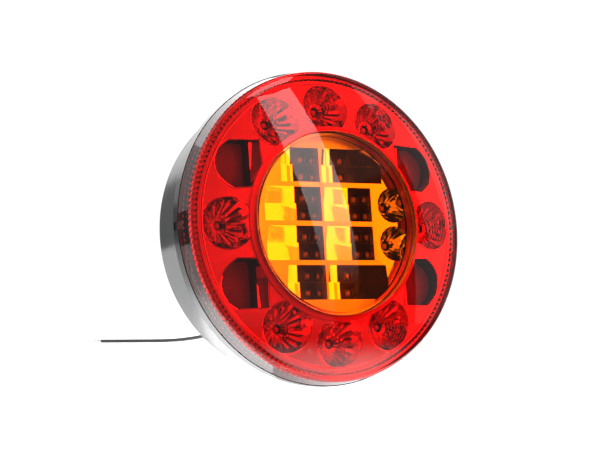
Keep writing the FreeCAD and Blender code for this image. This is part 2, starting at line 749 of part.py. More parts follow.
def screw(x, y, seat, direction, head, head_radius, shank, radius):
    """Pan-head tapping screw: the head stands on seat and the shank goes the other way."""
    body = rod(head_radius, seat, head, direction, x, y)
    body = body.fuse(rod(radius, seat, shank, -direction, x, y))
    crown = seat + direction * head
    z0, z1 = sorted((crown, crown - direction * head * SCREW_SLOT_SHARE))
    half_length = SCREW_SLOT_LENGTH / 2
    half_width = SCREW_SLOT_WIDTH / 2
    cross = [block(x - half_length, x + half_length, y - half_width, y + half_width, z0, z1),
             block(x - half_width, x + half_width, y - half_length, y + half_length, z0, z1)]
    return body.cut(cross)


def board_screws():
    """Screws through the board into the housing bosses."""
    return [screw(x, y, BOARD_TOP, 1, SCREW_HEAD, SCREW_HEAD_RADIUS, SCREW_LENGTH, BOSS_PILOT)
            for x, y in boss_places()]


def reflector_screws():
    """Screws from behind the board into the posts of the outer reflector."""
    return [screw(x, y, BOARD_BACK, -1, POST_SCREW_HEAD, POST_SCREW_HEAD_RADIUS,
                  POST_SCREW_LENGTH, POST_PILOT) for x, y in post_places()]


def mounting_studs():
    return [stud(x) for x in stud_places()]


# ---------------------------------------------------------------- vent and grommet
def breather_plug():
    """Cap over the vent: a ring that holds the membrane, with a cross of four openings."""
    low = BACK + VENT_CAP_SINK
    high = BACK + VENT_POCKET
    body = disc(VENT_RADIUS, low, low + VENT_CAP, 0, VENT_Y)
    skirt = disc(VENT_RADIUS, low + VENT_CAP, high, 0, VENT_Y)
    skirt = skirt.cut(disc(VENT_RADIUS - VENT_CAP_WALL, low, high, 0, VENT_Y))
    openings = []
    for k in range(4):
        angle = math.radians(45 + 90 * k)
        x = VENT_OPENING_PITCH * math.cos(angle)
        y = VENT_Y + VENT_OPENING_PITCH * math.sin(angle)
        openings.append(disc(VENT_OPENING_RADIUS, low, low + VENT_CAP, x, y))
    return body.fuse(skirt).cut(openings)


def vent_membrane():
    """Thin porous disc that lets the lamp breathe and keeps water out."""
    high = BACK + VENT_POCKET
    return disc(VENT_RADIUS - VENT_CAP_WALL, high - MEMBRANE, high, 0, VENT_Y)


def passage_places():
    """The grommet's four lead passages."""
    return [(sx * LEAD_OFFSET, INLET_Y + sy * LEAD_OFFSET) for sx in (-1, 1) for sy in (-1, 1)]


def cable_grommet():
    """Rubber grommet: sunk outer flange, neck through the wall, inner flange and a tail."""
    floor = BACK + REAR_WALL
    flange_low = BACK + GROMMET_SINK
    neck_top = floor + INLET_BOSS
    profile = lathe([
        (0, BACK - GROMMET_TAIL),
        (GROMMET_END, BACK - GROMMET_TAIL),
        (GROMMET_ROOT, flange_low),
        (GROMMET_FLANGE, flange_low),
        (GROMMET_FLANGE, flange_low + GROMMET_FLANGE_THICK),
        (INLET_RADIUS, flange_low + GROMMET_FLANGE_THICK),
        (INLET_RADIUS, neck_top),
        (INLET_RADIUS + GROMMET_LIP, neck_top),
        (INLET_RADIUS + GROMMET_LIP, neck_top + GROMMET_LIP),
        (0, neck_top + GROMMET_LIP),
    ])
    profile.translate(Vector(0, INLET_Y, 0))
    holes = [disc(LEAD_RADIUS, BACK - GROMMET_TAIL, neck_top + GROMMET_LIP, x, y)
             for x, y in passage_places()]
    return profile.cut(holes)


# ---------------------------------------------------------------- lead
def inner_lead():
    """Insulated lead inside the lamp, from the grommet's passage to just under the board."""
    return disc(LEAD_RADIUS, BACK - GROMMET_TAIL, BOARD_BACK - STRIP_LENGTH, *pad_place())


def inner_core():
    """Bare conductor of the same lead, through the board."""
    return disc(CORE_RADIUS, BOARD_BACK - STRIP_LENGTH, BOARD_TOP + SOLDER_TAIL, *pad_place())


def solder_joint():
    """Cone of solder round the conductor on the board's front."""
    x, y = pad_place()
    cone = Part.makeCone(SOLDER_RADIUS, SOLDER_RADIUS / 2, SOLDER_HEIGHT, Vector(x, y, BOARD_TOP),
                         AXIS)
    return cone.cut(disc(CORE_RADIUS, BOARD_TOP, BOARD_TOP + SOLDER_TAIL, x, y))


def rounded_route(points):
    """Straight runs joined by tangent arcs, each as large as its two runs allow."""
    edges = []
    radii = []
    here = points[0]
    for before, corner, after in zip(points, points[1:], points[2:]):
        way_in = (corner - before).normalize()
        way_out = (after - corner).normalize()
        turn = way_in.getAngle(way_out)
        shorter = min(corner.distanceToPoint(before), after.distanceToPoint(corner))
        reach = 0.45 * shorter
        radius = reach / math.tan(turn / 2)
        radii.append(radius)
        start = corner - way_in * reach
        end = corner + way_out * reach
        inward = (way_out - way_in).normalize()
        middle = corner + inward * (radius / math.cos(turn / 2) - radius)
        edges.append(Part.LineSegment(here, start).toShape())
        edges.append(Part.Arc(start, middle, end).toShape())
        here = end
    edges.append(Part.LineSegment(here, points[-1]).toShape())
    return Part.Wire(edges), radii


def supply_lead(start, heading):
    """Flying lead behind the lamp, from the grommet's tail to its bare end."""
    points = [start, start + heading * LEAD_STRAIGHT]
    points += [Vector(*point) for point in LEAD_ROUTE]
    path, radii = rounded_route(points)
    circle = Part.Wire(Part.makeCircle(LEAD_RADIUS, start, heading))
    tube = path.makePipeShell([circle], True, False)
    print("lead length", round(path.Length, 1))
    print("lead radii", [round(radius, 1) for radius in radii])
    print("lead volume over section x length",
          round(tube.Volume / (math.pi * LEAD_RADIUS**2 * path.Length), 4))
    return tube, points


def lead_tip(points):
    """Bare tinned end of the flying lead."""
    heading = (points[-1] - points[-2]).normalize()
    return Part.makeCylinder(CORE_RADIUS, BARE_LENGTH, points[-1], heading)


# ---------------------------------------------------------------- assembly
def lean_angle():
    """How far the lamp leans back when it rests on its flange and its rear rim."""
    across = FLANGE_RADIUS - (REAR_RADIUS - REAR_ROUND)
    along = (REAR_DEPTH - REAR_ROUND) + FLANGE_BACK
    return math.atan2(across, along) - math.asin(REAR_ROUND / math.hypot(across, along))


def lamp_pieces():
    """Every piece of the lamp on its own axis, by node name."""
    return {
        "rear_housing": [rear_housing()],
        "outer_lens": [outer_lens()],
        "center_lens": [center_lens()],
        "seam_sealant": [seam_sealant()],
        "outer_reflector": [outer_reflector()],
        "center_reflector": [center_reflector()],
        "circuit_board": [circuit_board()],
        "outer_leds": outer_leds(),
        "center_leds": center_leds(),
        "resistors": resistors(),
        "diodes": diodes(),
        "driver_chips": driver_chips(),
        "capacitors": capacitors(),
        "board_screws": board_screws(),
        "reflector_screws": reflector_screws(),
        "mounting_studs": mounting_studs(),
        "breather_plug": [breather_plug()],
        "vent_membrane": [vent_membrane()],
        "cable_grommet": [cable_grommet()],
        "inner_lead": [inner_lead()],
        "inner_core": [inner_core()],
        "solder_joint": [solder_joint()],
    }


def standing(pieces):
    """The placement that stands the lamp on the floor, centred over the origin."""
    lean = lean_angle()
    height = FLANGE_RADIUS * math.cos(lean) - FLANGE_BACK * math.sin(lean)
    turn = Rotation(Vector(1, 0, 0), 90 - math.degrees(lean))
    placement = Placement(Vector(0, 0, height), turn)
    outside = []
    for name in ("rear_housing", "outer_lens", "center_lens", "mounting_studs"):
        outside += pieces[name]
    whole = Part.makeCompound(outside)
    whole.Placement = placement
    box = whole.optimalBoundingBox(False, False)
    placement.move(Vector(0, -(box.YMin + box.YMax) / 2, 0))
    print("lean", round(math.degrees(lean), 3), "axis height", round(height, 3),
          "seam centre y", round(placement.Base.y, 3))
    return placement


def main():
    os.makedirs("parts", exist_ok=True)
    pieces = lamp_pieces()
    placement = standing(pieces)
    for solids in pieces.values():
        for solid in solids:
            solid.Placement = placement.multiply(solid.Placement)
    x, y = pad_place()
    start = placement.multVec(Vector(x, y, BACK - GROMMET_TAIL))
    heading = placement.Rotation.multVec(Vector(0, 0, -1))
    tube, points = supply_lead(start, heading)
    pieces["supply_lead"] = [tube]
    pieces["lead_tip"] = [lead_tip(points)]
    for name, solids in pieces.items():
        shape = solids[0] if len(solids) == 1 else Part.makeCompound(solids)
        shape.exportStep(f"parts/{name}.step")
        print(name, len(shape.Solids), "solids", round(shape.Volume / 1000, 2), "cm3",
              "valid" if shape.isValid() else "INVALID")


main()
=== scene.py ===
import json
import math

import bmesh
import bpy
from mathutils import Matrix, Vector
from mathutils.geometry import delaunay_2d_cdt

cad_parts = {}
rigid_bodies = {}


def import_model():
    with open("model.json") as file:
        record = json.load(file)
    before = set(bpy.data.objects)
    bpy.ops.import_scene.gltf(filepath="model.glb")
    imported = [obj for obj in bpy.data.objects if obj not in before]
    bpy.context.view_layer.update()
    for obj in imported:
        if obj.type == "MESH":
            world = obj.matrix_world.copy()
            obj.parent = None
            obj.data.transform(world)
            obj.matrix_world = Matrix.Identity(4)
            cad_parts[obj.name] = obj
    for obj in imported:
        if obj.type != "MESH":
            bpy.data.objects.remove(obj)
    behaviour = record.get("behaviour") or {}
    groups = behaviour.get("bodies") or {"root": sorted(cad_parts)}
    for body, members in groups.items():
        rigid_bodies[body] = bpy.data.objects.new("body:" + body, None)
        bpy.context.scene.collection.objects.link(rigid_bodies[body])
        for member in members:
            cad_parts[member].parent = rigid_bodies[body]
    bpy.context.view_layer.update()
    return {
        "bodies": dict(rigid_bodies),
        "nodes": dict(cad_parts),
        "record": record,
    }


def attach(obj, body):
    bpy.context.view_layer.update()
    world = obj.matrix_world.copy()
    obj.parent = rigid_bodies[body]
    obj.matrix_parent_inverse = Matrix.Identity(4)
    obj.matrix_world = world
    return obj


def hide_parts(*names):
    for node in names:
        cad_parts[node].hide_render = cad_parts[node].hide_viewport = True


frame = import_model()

# Looks of the round LED trailer tail light. Pieces are shaped on the lamp's own axis, in
# millimetres: x to the right seen from the front, y up the lamp's face and z out of the lens,
# zero at the seam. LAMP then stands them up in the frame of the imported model, in metres.

scene = bpy.context.scene
MM = 0.001
nodes = frame["nodes"]
mounts = {m["name"]: m for m in frame["record"]["mounts"]}

# ---- sizes in lamp millimetres, most of them shared with the CAD model
REAR_DEPTH = 31.5
SEAM_RADIUS = 70.0
SEAM_GAP = 0.2
TONGUE_INNER = 67.7
TONGUE_OUTER = 68.8
TONGUE_DEPTH = 1.9
EDGE_BREAK = 0.15
DOME_APEX = 20.0
DOME_RADIUS = 216.0
LENS_THICK = 2.6
SHOULDER_RADIUS = 69.05
SHOULDER_BASE = 6.9
SHOULDER_TOP_RADIUS = 66.9
RING_INNER = 64.9
RING_OUTER = 68.4
RING_BACK = 2.6
LUG_HALF = 1.8
LUG_TOP = 3.4
LUG_BACK = -3.6
LUG_INNER = 69.0
CENTER_RADIUS = 40.8
CENTER_GAP = 0.15
CENTER_FLANGE = 42.8
CENTER_FLANGE_THICK = 1.2
CENTER_SKIRT_WALL = 1.8
CENTER_SKIRT_BACK = 8.6
PANEL_DROP = 4.0
PANEL_INNER = 41.0
PANEL_OUTER = 64.3
INNER_WALL_LOW = 3.0
BEAD_RING = 62.6
BEAD_HALF_WIDTH = 0.5
BEAD_HEIGHT = 0.42
PANEL_MARGIN = 0.8
LIP_WIDTH = 0.7
LIP_HEIGHT = 0.35
LIP_SECTION = ((0.0, 0.0), (0.15, 0.7), (0.35, 1.0), (0.55, 0.7), (LIP_WIDTH, 0.0))
FLANGE_OUTER = 67.3
FLANGE_TOP = 1.2
FLANGE_LOW = 0.2
CUP_COUNT = 12
CUP_PITCH_RADIUS = 51.6
CUP_RADIUS = 10.9
CUP_FLOOR = 0.4
WINDOW_CLOCKS = (2, 4, 8, 10)
WINDOW_INSIDE = 38.0
WINDOW_OUTSIDE = 55.0
WINDOW_BULGE = 7.0
WINDOW_LOW = 15.2
WINDOW_HIGH = 36.0
LEDGE_WIDTH = 3.2
LEDGE_FLOOR = 7.0
TROUGH_FACE = 8.2
TROUGH_FLOOR = 0.4
TROUGH_RADIUS = 40.7
TROUGH_WALL = 1.2
ROW_PITCH = 17.2
ROW_COUNT = 4
ROW_OFFSET = 0.55
ROW_RIB = 2.1
LONG_ROW_LEFT = -32.5
LONG_ROW_RIGHT = 21.8
SHORT_ROW_LEFT = -23.4
SHORT_ROW_RIGHT = 28.1
CELL_SPLIT = -3.5
CELL_RIB = 1.0
LEFT_LED_X = -8.4
LONG_LED_X = 18.3
SHORT_LED_X = 12.0
LED_PAIR = 7.6
LED_SLOT = 6.4
LED_OPENING_X = 2.0
UPPER_SHEAR = -0.06
RAMP_SLOPE = 0.27
LONG_RAMPS = (19.0, 16.5)
SHORT_RAMPS = (6.8, 6.6)
LED_OPENING_Y = 1.7
CUT_TOP = TROUGH_FACE + 2
CUT_BOTTOM = TROUGH_FLOOR - 2
BOWL_X = 33.0
BOWL_RADIUS = 7.9
BOWL_THROAT = 2.4
BOARD_TOP = -2.0
OFF_BOARD = BOARD_TOP + 0.1
LED_LENGTH = 3.4
LED_WIDTH = 2.8
LED_BODY = 1.3
LED_BEAD = 1.1
STUD_RADIUS = 3.0
STUD_SPACING = 45.0
STUD_OUT = 20.0
LEAD_RADIUS = 0.85
CORE_RADIUS = 0.45
BARE_LENGTH = 3.6

# ---- the lamp's own axes in the frame
rear_pad = mounts["rear_pad"]
OUT = -Vector(rear_pad["axis"]).normalized()
RIGHT = Vector((1, 0, 0))
UP = OUT.cross(RIGHT).normalized()
LAMP = Matrix((RIGHT, UP, OUT)).transposed().to_4x4()
LAMP.translation = Vector(rear_pad["pos_m"]) + OUT * REAR_DEPTH * MM


# ---------------------------------------------------------------- camera
def place_object(name, data):
    """New object in the scene that shows the given data."""
    made = bpy.data.objects.new(name, data)
    scene.collection.objects.link(made)
    return made


def add_camera():
    """Camera a little left of the lamp's axis and slightly above its middle."""
    azimuth = math.radians(30.771)      # towards -X from the lamp's front
    elevation = math.radians(4.088)
    roll = math.radians(3.2936)
    distance = 0.75475
    target = Vector((-5.74, -9.09, 70.23)) * MM
    back = Vector((-math.sin(azimuth) * math.cos(elevation),
                   -math.cos(azimuth) * math.cos(elevation), math.sin(elevation)))
    level_right = Vector((0, 0, 1)).cross(back).normalized()
    level_up = back.cross(level_right)
    up = level_up * math.cos(roll) - level_right * math.sin(roll)
    right = up.cross(back)
    data = bpy.data.cameras.new("camera")
    data.sensor_width = 36.0
    data.lens = 100.33
    data.clip_start = 0.05
    data.clip_end = 20.0
    camera = place_object("camera", data)
    camera.matrix_world = Matrix((right, up, back)).transposed().to_4x4()
    camera.location = target + back * distance
    scene.camera = camera


# ---------------------------------------------------------------- node helpers
class Shader:
    """A node material with a Principled BSDF and short ways to add nodes."""

    def __init__(self, name):
        self.material = bpy.data.materials.new(name)
        self.material.use_nodes = True
        self.tree = self.material.node_tree
        self.bsdf = next(n for n in self.tree.nodes if n.type == "BSDF_PRINCIPLED")
        self.output = next(n for n in self.tree.nodes if n.type == "OUTPUT_MATERIAL")

    def set(self, **values):
        """Sets sockets of the Principled BSDF."""
        for key, value in values.items():
            self.bsdf.inputs[key.replace("_", " ")].default_value = value

    def node(self, kind, links=(), **values):
        """Adds a node; values set sockets or properties, and links join (socket, source)."""
        made = self.tree.nodes.new(kind)
        for key, value in values.items():
            if hasattr(made, key):
                setattr(made, key, value)
            else:
                made.inputs[key.replace("_", " ")].default_value = value
        for socket, source in links:
            self.tree.links.new(source, made.inputs[socket])
        return made

    def link(self, source, socket):
        """Joins a source to a socket of the Principled BSDF."""
        self.tree.links.new(source, self.bsdf.inputs[socket])

    def show(self, source):
        """Joins a shader to the material's output."""
        self.tree.links.new(source, self.output.inputs["Surface"])

    def coords(self):
        return self.node("ShaderNodeTexCoord").outputs["Object"]

    def distance(self):
        """Distance from the object's own origin, in metres."""
        made = self.node("ShaderNodeVectorMath", [("Vector", self.coords())], operation="LENGTH")
        return made.outputs["Value"]

    def noise(self, scale, detail=3.0, roughness=0.55):
        """Noise over the object's own coordinates; scale is waves per metre."""
        made = self.node("ShaderNodeTexNoise", [("Vector", self.coords())],
                         Scale=scale, Detail=detail, Roughness=roughness)
        return made.outputs["Fac"]

    def range(self, source, low, high, from_low=0.0, from_high=1.0, smooth=False):
        """A source between from_low and from_high, taken to low and high."""
        made = self.node("ShaderNodeMapRange", [("Value", source)], From_Min=from_low,
                         From_Max=from_high, To_Min=low, To_Max=high)
        if smooth:
            made.interpolation_type = "SMOOTHSTEP"
        return made.outputs["Result"]

    def product(self, first, second):
        made = self.node("ShaderNodeMath", [(0, first), (1, second)], operation="MULTIPLY")
        return made.outputs["Value"]

    def blend(self, factor, first, second):
        """Colour between two colours or sources."""
        made = self.node("ShaderNodeMix", data_type="RGBA")
        self.tree.links.new(factor, made.inputs["Factor"])
        for socket, value in ((6, first), (7, second)):
            if isinstance(value, tuple):
                made.inputs[socket].default_value = (*value, 1.0)
            else:
                self.tree.links.new(value, made.inputs[socket])
        return made.outputs[2]

    def mix(self, factor, first, second):
        """Shader between two shaders."""
        made = self.node("ShaderNodeMixShader", [("Fac", factor), (1, first), (2, second)])
        return made.outputs["Shader"]

    def paint(self, waves, first, second):
        """Mottles the base colour between two colours."""
        self.link(self.blend(waves, first, second), "Base Color")

    def bump(self, height, strength, distance):
        made = self.node("ShaderNodeBump", [("Height", height)], Strength=strength)
        made.inputs["Distance"].default_value = distance
        self.link(made.outputs["Normal"], "Normal")


def rgba(red, green, blue):
    return (red, green, blue, 1.0)


# ---------------------------------------------------------------- materials
def lens_plastic(name, tint, edge_tint):
    """Clear coloured acrylic. Light that only passes through on its way to a surface inside
    is tinted and let through straight, so that the lamp's inside is lit. Light that leaves the
    plastic through the dome isn't split again, so that the lens mirrors its surroundings once."""
    acrylic = 1.49
    faces_front = 0.9
    shader = Shader(name)
    shader.set(IOR=acrylic, Transmission_Weight=1.0, Roughness=0.0)
    shader.paint(shader.noise(35.0, 2.0), tint, edge_tint)
    shader.bump(shader.noise(160.0, 1.0), 0.03, 0.0004)
    half_tint = rgba(*[math.sqrt(c) for c in tint])
    through = shader.node("ShaderNodeBsdfTransparent", Color=half_tint)
    leaving = shader.node("ShaderNodeBsdfRefraction", IOR=acrylic, Roughness=0.0, Color=half_tint)
    geometry = shader.node("ShaderNodeNewGeometry")
    facing = shader.node("ShaderNodeVectorMath", [(0, geometry.outputs["Normal"])],
                         operation="DOT_PRODUCT")
    facing.inputs[1].default_value = OUT
    steep = shader.node("ShaderNodeMath", [(0, facing.outputs["Value"])], operation="ABSOLUTE")
    on_dome = shader.node("ShaderNodeMath", [(0, steep.outputs["Value"])],
                          operation="GREATER_THAN")
    on_dome.inputs[1].default_value = faces_front
    from_inside = shader.product(on_dome.outputs["Value"], geometry.outputs["Backfacing"])
    once = shader.mix(from_inside, shader.bsdf.outputs["BSDF"], leaving.outputs["BSDF"])
    path = shader.node("ShaderNodeLightPath")
    shader.show(shader.mix(path.outputs["Is Shadow Ray"], once, through.outputs["BSDF"]))
    return shader.material


def metallised(name, low_rough, high_rough, shine=1.0, patchy=0.07):
    """Vacuum-metallised plastic with haze, moulding waviness and patchy brightness."""
    shader = Shader(name)
    shader.set(Metallic=1.0)
    haze = shader.noise(400.0, 4.0)
    shader.link(shader.range(haze, low_rough, high_rough), "Roughness")
    dull, bright = (0.93 - patchy) * shine, 0.93 * shine
    shader.paint(shader.noise(60.0), (dull,) * 3, (bright,) * 3)
    shader.bump(shader.noise(220.0, 1.0), 0.06, 0.0004)
    return shader.material


def smoked_plastic():
    """Dark glossy plastic of the blank reflector positions."""
    shader = Shader("smoked_plastic")
    shader.paint(shader.noise(70.0), (0.24, 0.10, 0.09), (0.34, 0.13, 0.12))
    shader.link(shader.range(shader.noise(300.0, 5.0), 0.08, 0.18), "Roughness")
    shader.set(Specular_IOR_Level=0.12)
    shader.bump(shader.noise(110.0, 2.0), 0.08, 0.0008)
    return shader.material


def gloss_black():
    """Glossy moulded housing plastic with faint flow marks."""
    shader = Shader("gloss_black")
    shader.paint(shader.noise(50.0), (0.010, 0.011, 0.012), (0.017, 0.018, 0.020))
    shader.link(shader.range(shader.noise(300.0, 5.0), 0.10, 0.22), "Roughness")
    shader.bump(shader.noise(90.0, 2.0), 0.05, 0.0006)
    return shader.material


def rough_plastic(name, dark, light, rough=(0.5, 0.7), grain=1500.0, depth=0.1, shine=0.5):
    """Matt moulded plastic or rubber with a fine grain."""
    shader = Shader(name)
    shader.set(Specular_IOR_Level=shine)
    shader.paint(shader.noise(120.0), dark, light)
    shader.link(shader.range(shader.noise(500.0), *rough), "Roughness")
    shader.bump(shader.noise(grain, 3.0), depth, 0.0002)
    return shader.material


def plated(name, dark, light, rough=(0.22, 0.4)):
    """Zinc-plated or tinned metal."""
    shader = Shader(name)
    shader.set(Metallic=1.0)
    shader.paint(shader.noise(250.0, 5.0), dark, light)
    shader.link(shader.range(shader.noise(900.0, 4.0), *rough), "Roughness")
    shader.bump(shader.noise(2500.0, 2.0), 0.08, 0.0001)
    return shader.material


def board_mask():
    """Green solder resist with copper tracks showing faintly through it."""
    shader = Shader("board_mask")
    tracks = shader.node("ShaderNodeTexBrick", [("Vector", shader.coords())], Scale=180.0)
    tracks.inputs["Mortar Size"].default_value = 0.03
    resist = shader.blend(shader.noise(80.0), (0.012, 0.11, 0.04), (0.02, 0.16, 0.06))
    shader.paint(tracks.outputs["Fac"], resist, (0.03, 0.22, 0.09))
    shader.link(shader.range(shader.noise(600.0), 0.25, 0.4), "Roughness")
    shader.bump(tracks.outputs["Fac"], 0.15, 0.0002)
    return shader.material


def clear_silicone(name, tint):
    """Clear dome over an LED chip."""
    shader = Shader(name)
    shader.set(IOR=1.41, Roughness=0.02, Coat_Weight=0.6, Coat_Roughness=0.03)
    shader.paint(shader.noise(900.0), tint, tuple(c * 0.8 for c in tint))
    return shader.material


RED_LENS = lens_plastic("red_acrylic", (1.0, 0.055, 0.045), (0.97, 0.045, 0.04))
AMBER_LENS = lens_plastic("amber_acrylic", (1.0, 0.36, 0.008), (1.0, 0.34, 0.006))
MIRROR = metallised("metallised_mirror", 0.03, 0.09)
# the bowls' copy of the mirror finish is a tenth darker: painted shade in the bowls
SHADED_CUP_MIRROR = metallised("metallised_cups_shaded", 0.05, 0.12, 0.9)
SATIN = metallised("metallised_satin", 0.32, 0.48, patchy=0.33)
BLACK = gloss_black()
RUBBER = rough_plastic("rubber", (0.016, 0.016, 0.017), (0.03, 0.03, 0.031))
SEALANT = rough_plastic("cured_sealant", (0.03, 0.006, 0.006), (0.06, 0.012, 0.01), (0.3, 0.45))
INSULATION = rough_plastic("lead_insulation", (0.020, 0.020, 0.022), (0.035, 0.035, 0.037),
                           (0.35, 0.5))
EPOXY = rough_plastic("component_epoxy", (0.015, 0.015, 0.016), (0.03, 0.03, 0.032))
MEMBRANE = rough_plastic("membrane", (0.75, 0.75, 0.74), (0.85, 0.85, 0.84), (0.8, 0.95))
PACKAGE = rough_plastic("led_package", (0.26, 0.19, 0.13), (0.34, 0.25, 0.17), (0.35, 0.5))
ZINC = plated("zinc_plate", (0.55, 0.57, 0.60), (0.75, 0.76, 0.78))
TIN = plated("tinned_copper", (0.60, 0.56, 0.50), (0.82, 0.80, 0.76), (0.2, 0.35))
CAN = plated("aluminium_can", (0.60, 0.61, 0.63), (0.75, 0.76, 0.78), (0.3, 0.45))
BOARD = board_mask()
BEAD = clear_silicone("led_bead", (0.95, 0.55, 0.25))
SMOKED = smoked_plastic()
DARK_WALL = rough_plastic("dark_wall", (0.04, 0.016, 0.016), (0.08, 0.03, 0.028),
                          (0.3, 0.5), 300.0, shine=0.06)
BOND = rough_plastic("amber_bond", (0.85, 0.22, 0.02), (0.95, 0.32, 0.03), (0.3, 0.4))
# painted shade: the floors of the centre reflector's cells are made near black, where they lie in
# the shade of the cell walls
CELL_FLOOR_SHADE = rough_plastic("cell_floor_painted_shade", (0.020, 0.008, 0.004), (0.05, 0.02, 0.01),
                           (0.35, 0.5), 300.0)


# ---------------------------------------------------------------- mesh helpers
def dome(radius, drop=0.0):
    """Height of the lens dome, lowered by drop, at a distance from the axis."""
    return DOME_APEX - drop - (DOME_RADIUS - math.sqrt(DOME_RADIUS**2 - radius**2))


def spread(first, last, count):
    """count values from first to last."""
    return [first + (last - first) * k / (count - 1) for k in range(count)]


def dome_line(r_from, r_to, drop, count):
    """Outline points along the dome."""
    return [(r, dome(r, drop)) for r in spread(r_from, r_to, count)]


def clock_point(hour, radius):
    """Place on a circle at an hour of the clock, seen from the front."""
    angle = math.radians(30 * hour)
    return radius * math.sin(angle), radius * math.cos(angle)


def finish_piece(name, bm, materials, replaced, sharp):
    """Turns a bmesh in lamp millimetres into a placed piece that rides on the lamp's body.
    Edges that turn by more than sharp degrees are kept crisp."""
    bmesh.ops.remove_doubles(bm, verts=bm.verts, dist=1e-4)
    bmesh.ops.recalc_face_normals(bm, faces=bm.faces)
    bmesh.ops.scale(bm, vec=(MM, MM, MM), verts=bm.verts)
    mesh = bpy.data.meshes.new(name)
    bm.to_mesh(mesh)
    bm.free()
    mesh.transform(LAMP)
    for material in materials:
        mesh.materials.append(material)
    mesh.shade_smooth()
    mesh.set_sharp_from_angle(angle=math.radians(sharp))
    piece = place_object(name, mesh)
    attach(piece, BODY)
    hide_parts(*replaced)


def lathe(bm, outline, segments, ripple=None, coated=None):
    """Revolves a closed outline of (radius, height) points. ripple(k, i) moves point i out and
    up, and coated gives the material of the outline's edges that don't take the first one."""
    coated = coated or {}
    rings = []
    for k in range(segments):
        angle = 2 * math.pi * k / segments
        ring = []
        for i, (r, z) in enumerate(outline):
            shift, lift = ripple(k, i) if ripple else (0.0, 0.0)
            reach = r + shift
            place = (reach * math.cos(angle), reach * math.sin(angle), z + lift)
            ring.append(bm.verts.new(place))
        rings.append(ring)
    count = len(outline)
    for k, ring in enumerate(rings):
        other = rings[(k + 1) % segments]
        for i in range(count):
            j = (i + 1) % count
            face = bm.faces.new((ring[i], other[i], other[j], ring[j]))
            face.material_index = coated.get(i, 0)


def add_faces(bm, points, faces, index=0):
    """Adds points and the faces between them, in one of the piece's materials."""
    made = [bm.verts.new(p) for p in points]
    for face in faces:
        bm.faces.new([made[i] for i in face]).material_index = index


def grid_faces(rows, columns, closed=True):
    """Faces between rows of points, of which each row may be a closed ring."""
    faces = []
    for i in range(rows - 1):
        near = i * columns
        far = near + columns
        for k in range(columns if closed else columns - 1):
            j = (k + 1) % columns
            faces.append((near + k, near + j, far + j, far + k))
    return faces


def skin_rings(bm, rings):
    """Joins rings of vertices into a tube and closes its ends."""
    count = len(rings[0])
    for first, second in zip(rings, rings[1:]):
        for k in range(count):
            j = (k + 1) % count
            bm.faces.new((first[k], first[j], second[j], second[k]))
    bm.faces.new(rings[0][::-1])
    bm.faces.new(rings[-1])


BODY = next(iter(frame["bodies"]))


# ---------------------------------------------------------------- lead
def add_lead():
    """Flying lead: one smooth curve on the CAD route, with a stripped, tinned end."""
    start = Vector((2.6, 21.507, 44.324))
    route = [
        start,
        Vector((2.6, 35.119, 41.053)),
        Vector((2.0, 53.0, 29.5)),
        Vector((8.0, 67.0, 14.5)),
        Vector((17.0, 79.0, 3.6)),
        Vector((28.0, 91.0, LEAD_RADIUS)),
        Vector((37.0, 106.0, LEAD_RADIUS)),
        Vector((35.0, 121.5, LEAD_RADIUS)),
        Vector((21.5, 127.0, LEAD_RADIUS)),
        Vector((6.5, 115.5, LEAD_RADIUS)),
        Vector((-10.0, 108.8, LEAD_RADIUS)),
        Vector((-29.0, 110.6, LEAD_RADIUS)),
        Vector((-47.0, 112.8, LEAD_RADIUS)),
    ]
    data = bpy.data.curves.new("supply_lead_flex", "CURVE")
    data.dimensions = "3D"
    data.bevel_depth = LEAD_RADIUS * MM
    data.bevel_resolution = 6
    data.resolution_u = 16
    data.use_fill_caps = True
    spline = data.splines.new("NURBS")
    spline.points.add(len(route) - 1)
    for point, place in zip(spline.points, route):
        point.co = (*(place * MM), 1.0)
    spline.order_u = 3
    spline.use_endpoint_u = True
    data.materials.append(INSULATION)
    lead = place_object("supply_lead_flex", data)
    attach(lead, BODY)
    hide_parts("supply_lead")
    tip = add_lead_tip(route[-1], (route[-1] - route[-2]).normalized())


def add_lead_tip(end, heading):
    """Seven tinned strands, lightly twisted."""
    strands = 7
    strand = CORE_RADIUS / 3
    twisted = 110
    steps = 13
    around = 8
    pinched = 0.6
    bm = bmesh.new()
    side = heading.cross(Vector((0, 0, 1))).normalized()
    lift = side.cross(heading)
    for number in range(strands):
        out = 0.0 if number == strands - 1 else 2 * strand
        rings = []
        for k in range(steps):
            along = BARE_LENGTH * k / (steps - 1)
            twist = math.radians(60 * number + twisted * along / BARE_LENGTH)
            middle = end + heading * along
            middle = middle + side * (out * math.cos(twist)) + lift * (out * math.sin(twist))
            size = strand * (pinched if k == steps - 1 else 1.0)
            ring = []
            for j in range(around):
                turn = 2 * math.pi * j / around
                offset = side * math.cos(turn) + lift * math.sin(turn)
                ring.append(bm.verts.new(middle + offset * size))
            rings.append(ring)
        skin_rings(bm, rings)
    bmesh.ops.recalc_face_normals(bm, faces=bm.faces)
    bmesh.ops.scale(bm, vec=(MM, MM, MM), verts=bm.verts)
    mesh = bpy.data.meshes.new("lead_strands")
    bm.to_mesh(mesh)
    bm.free()
    mesh.shade_smooth()
    mesh.materials.append(TIN)
    tip = place_object("lead_strands", mesh)
    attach(tip, BODY)
    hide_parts("lead_tip")
    return tip


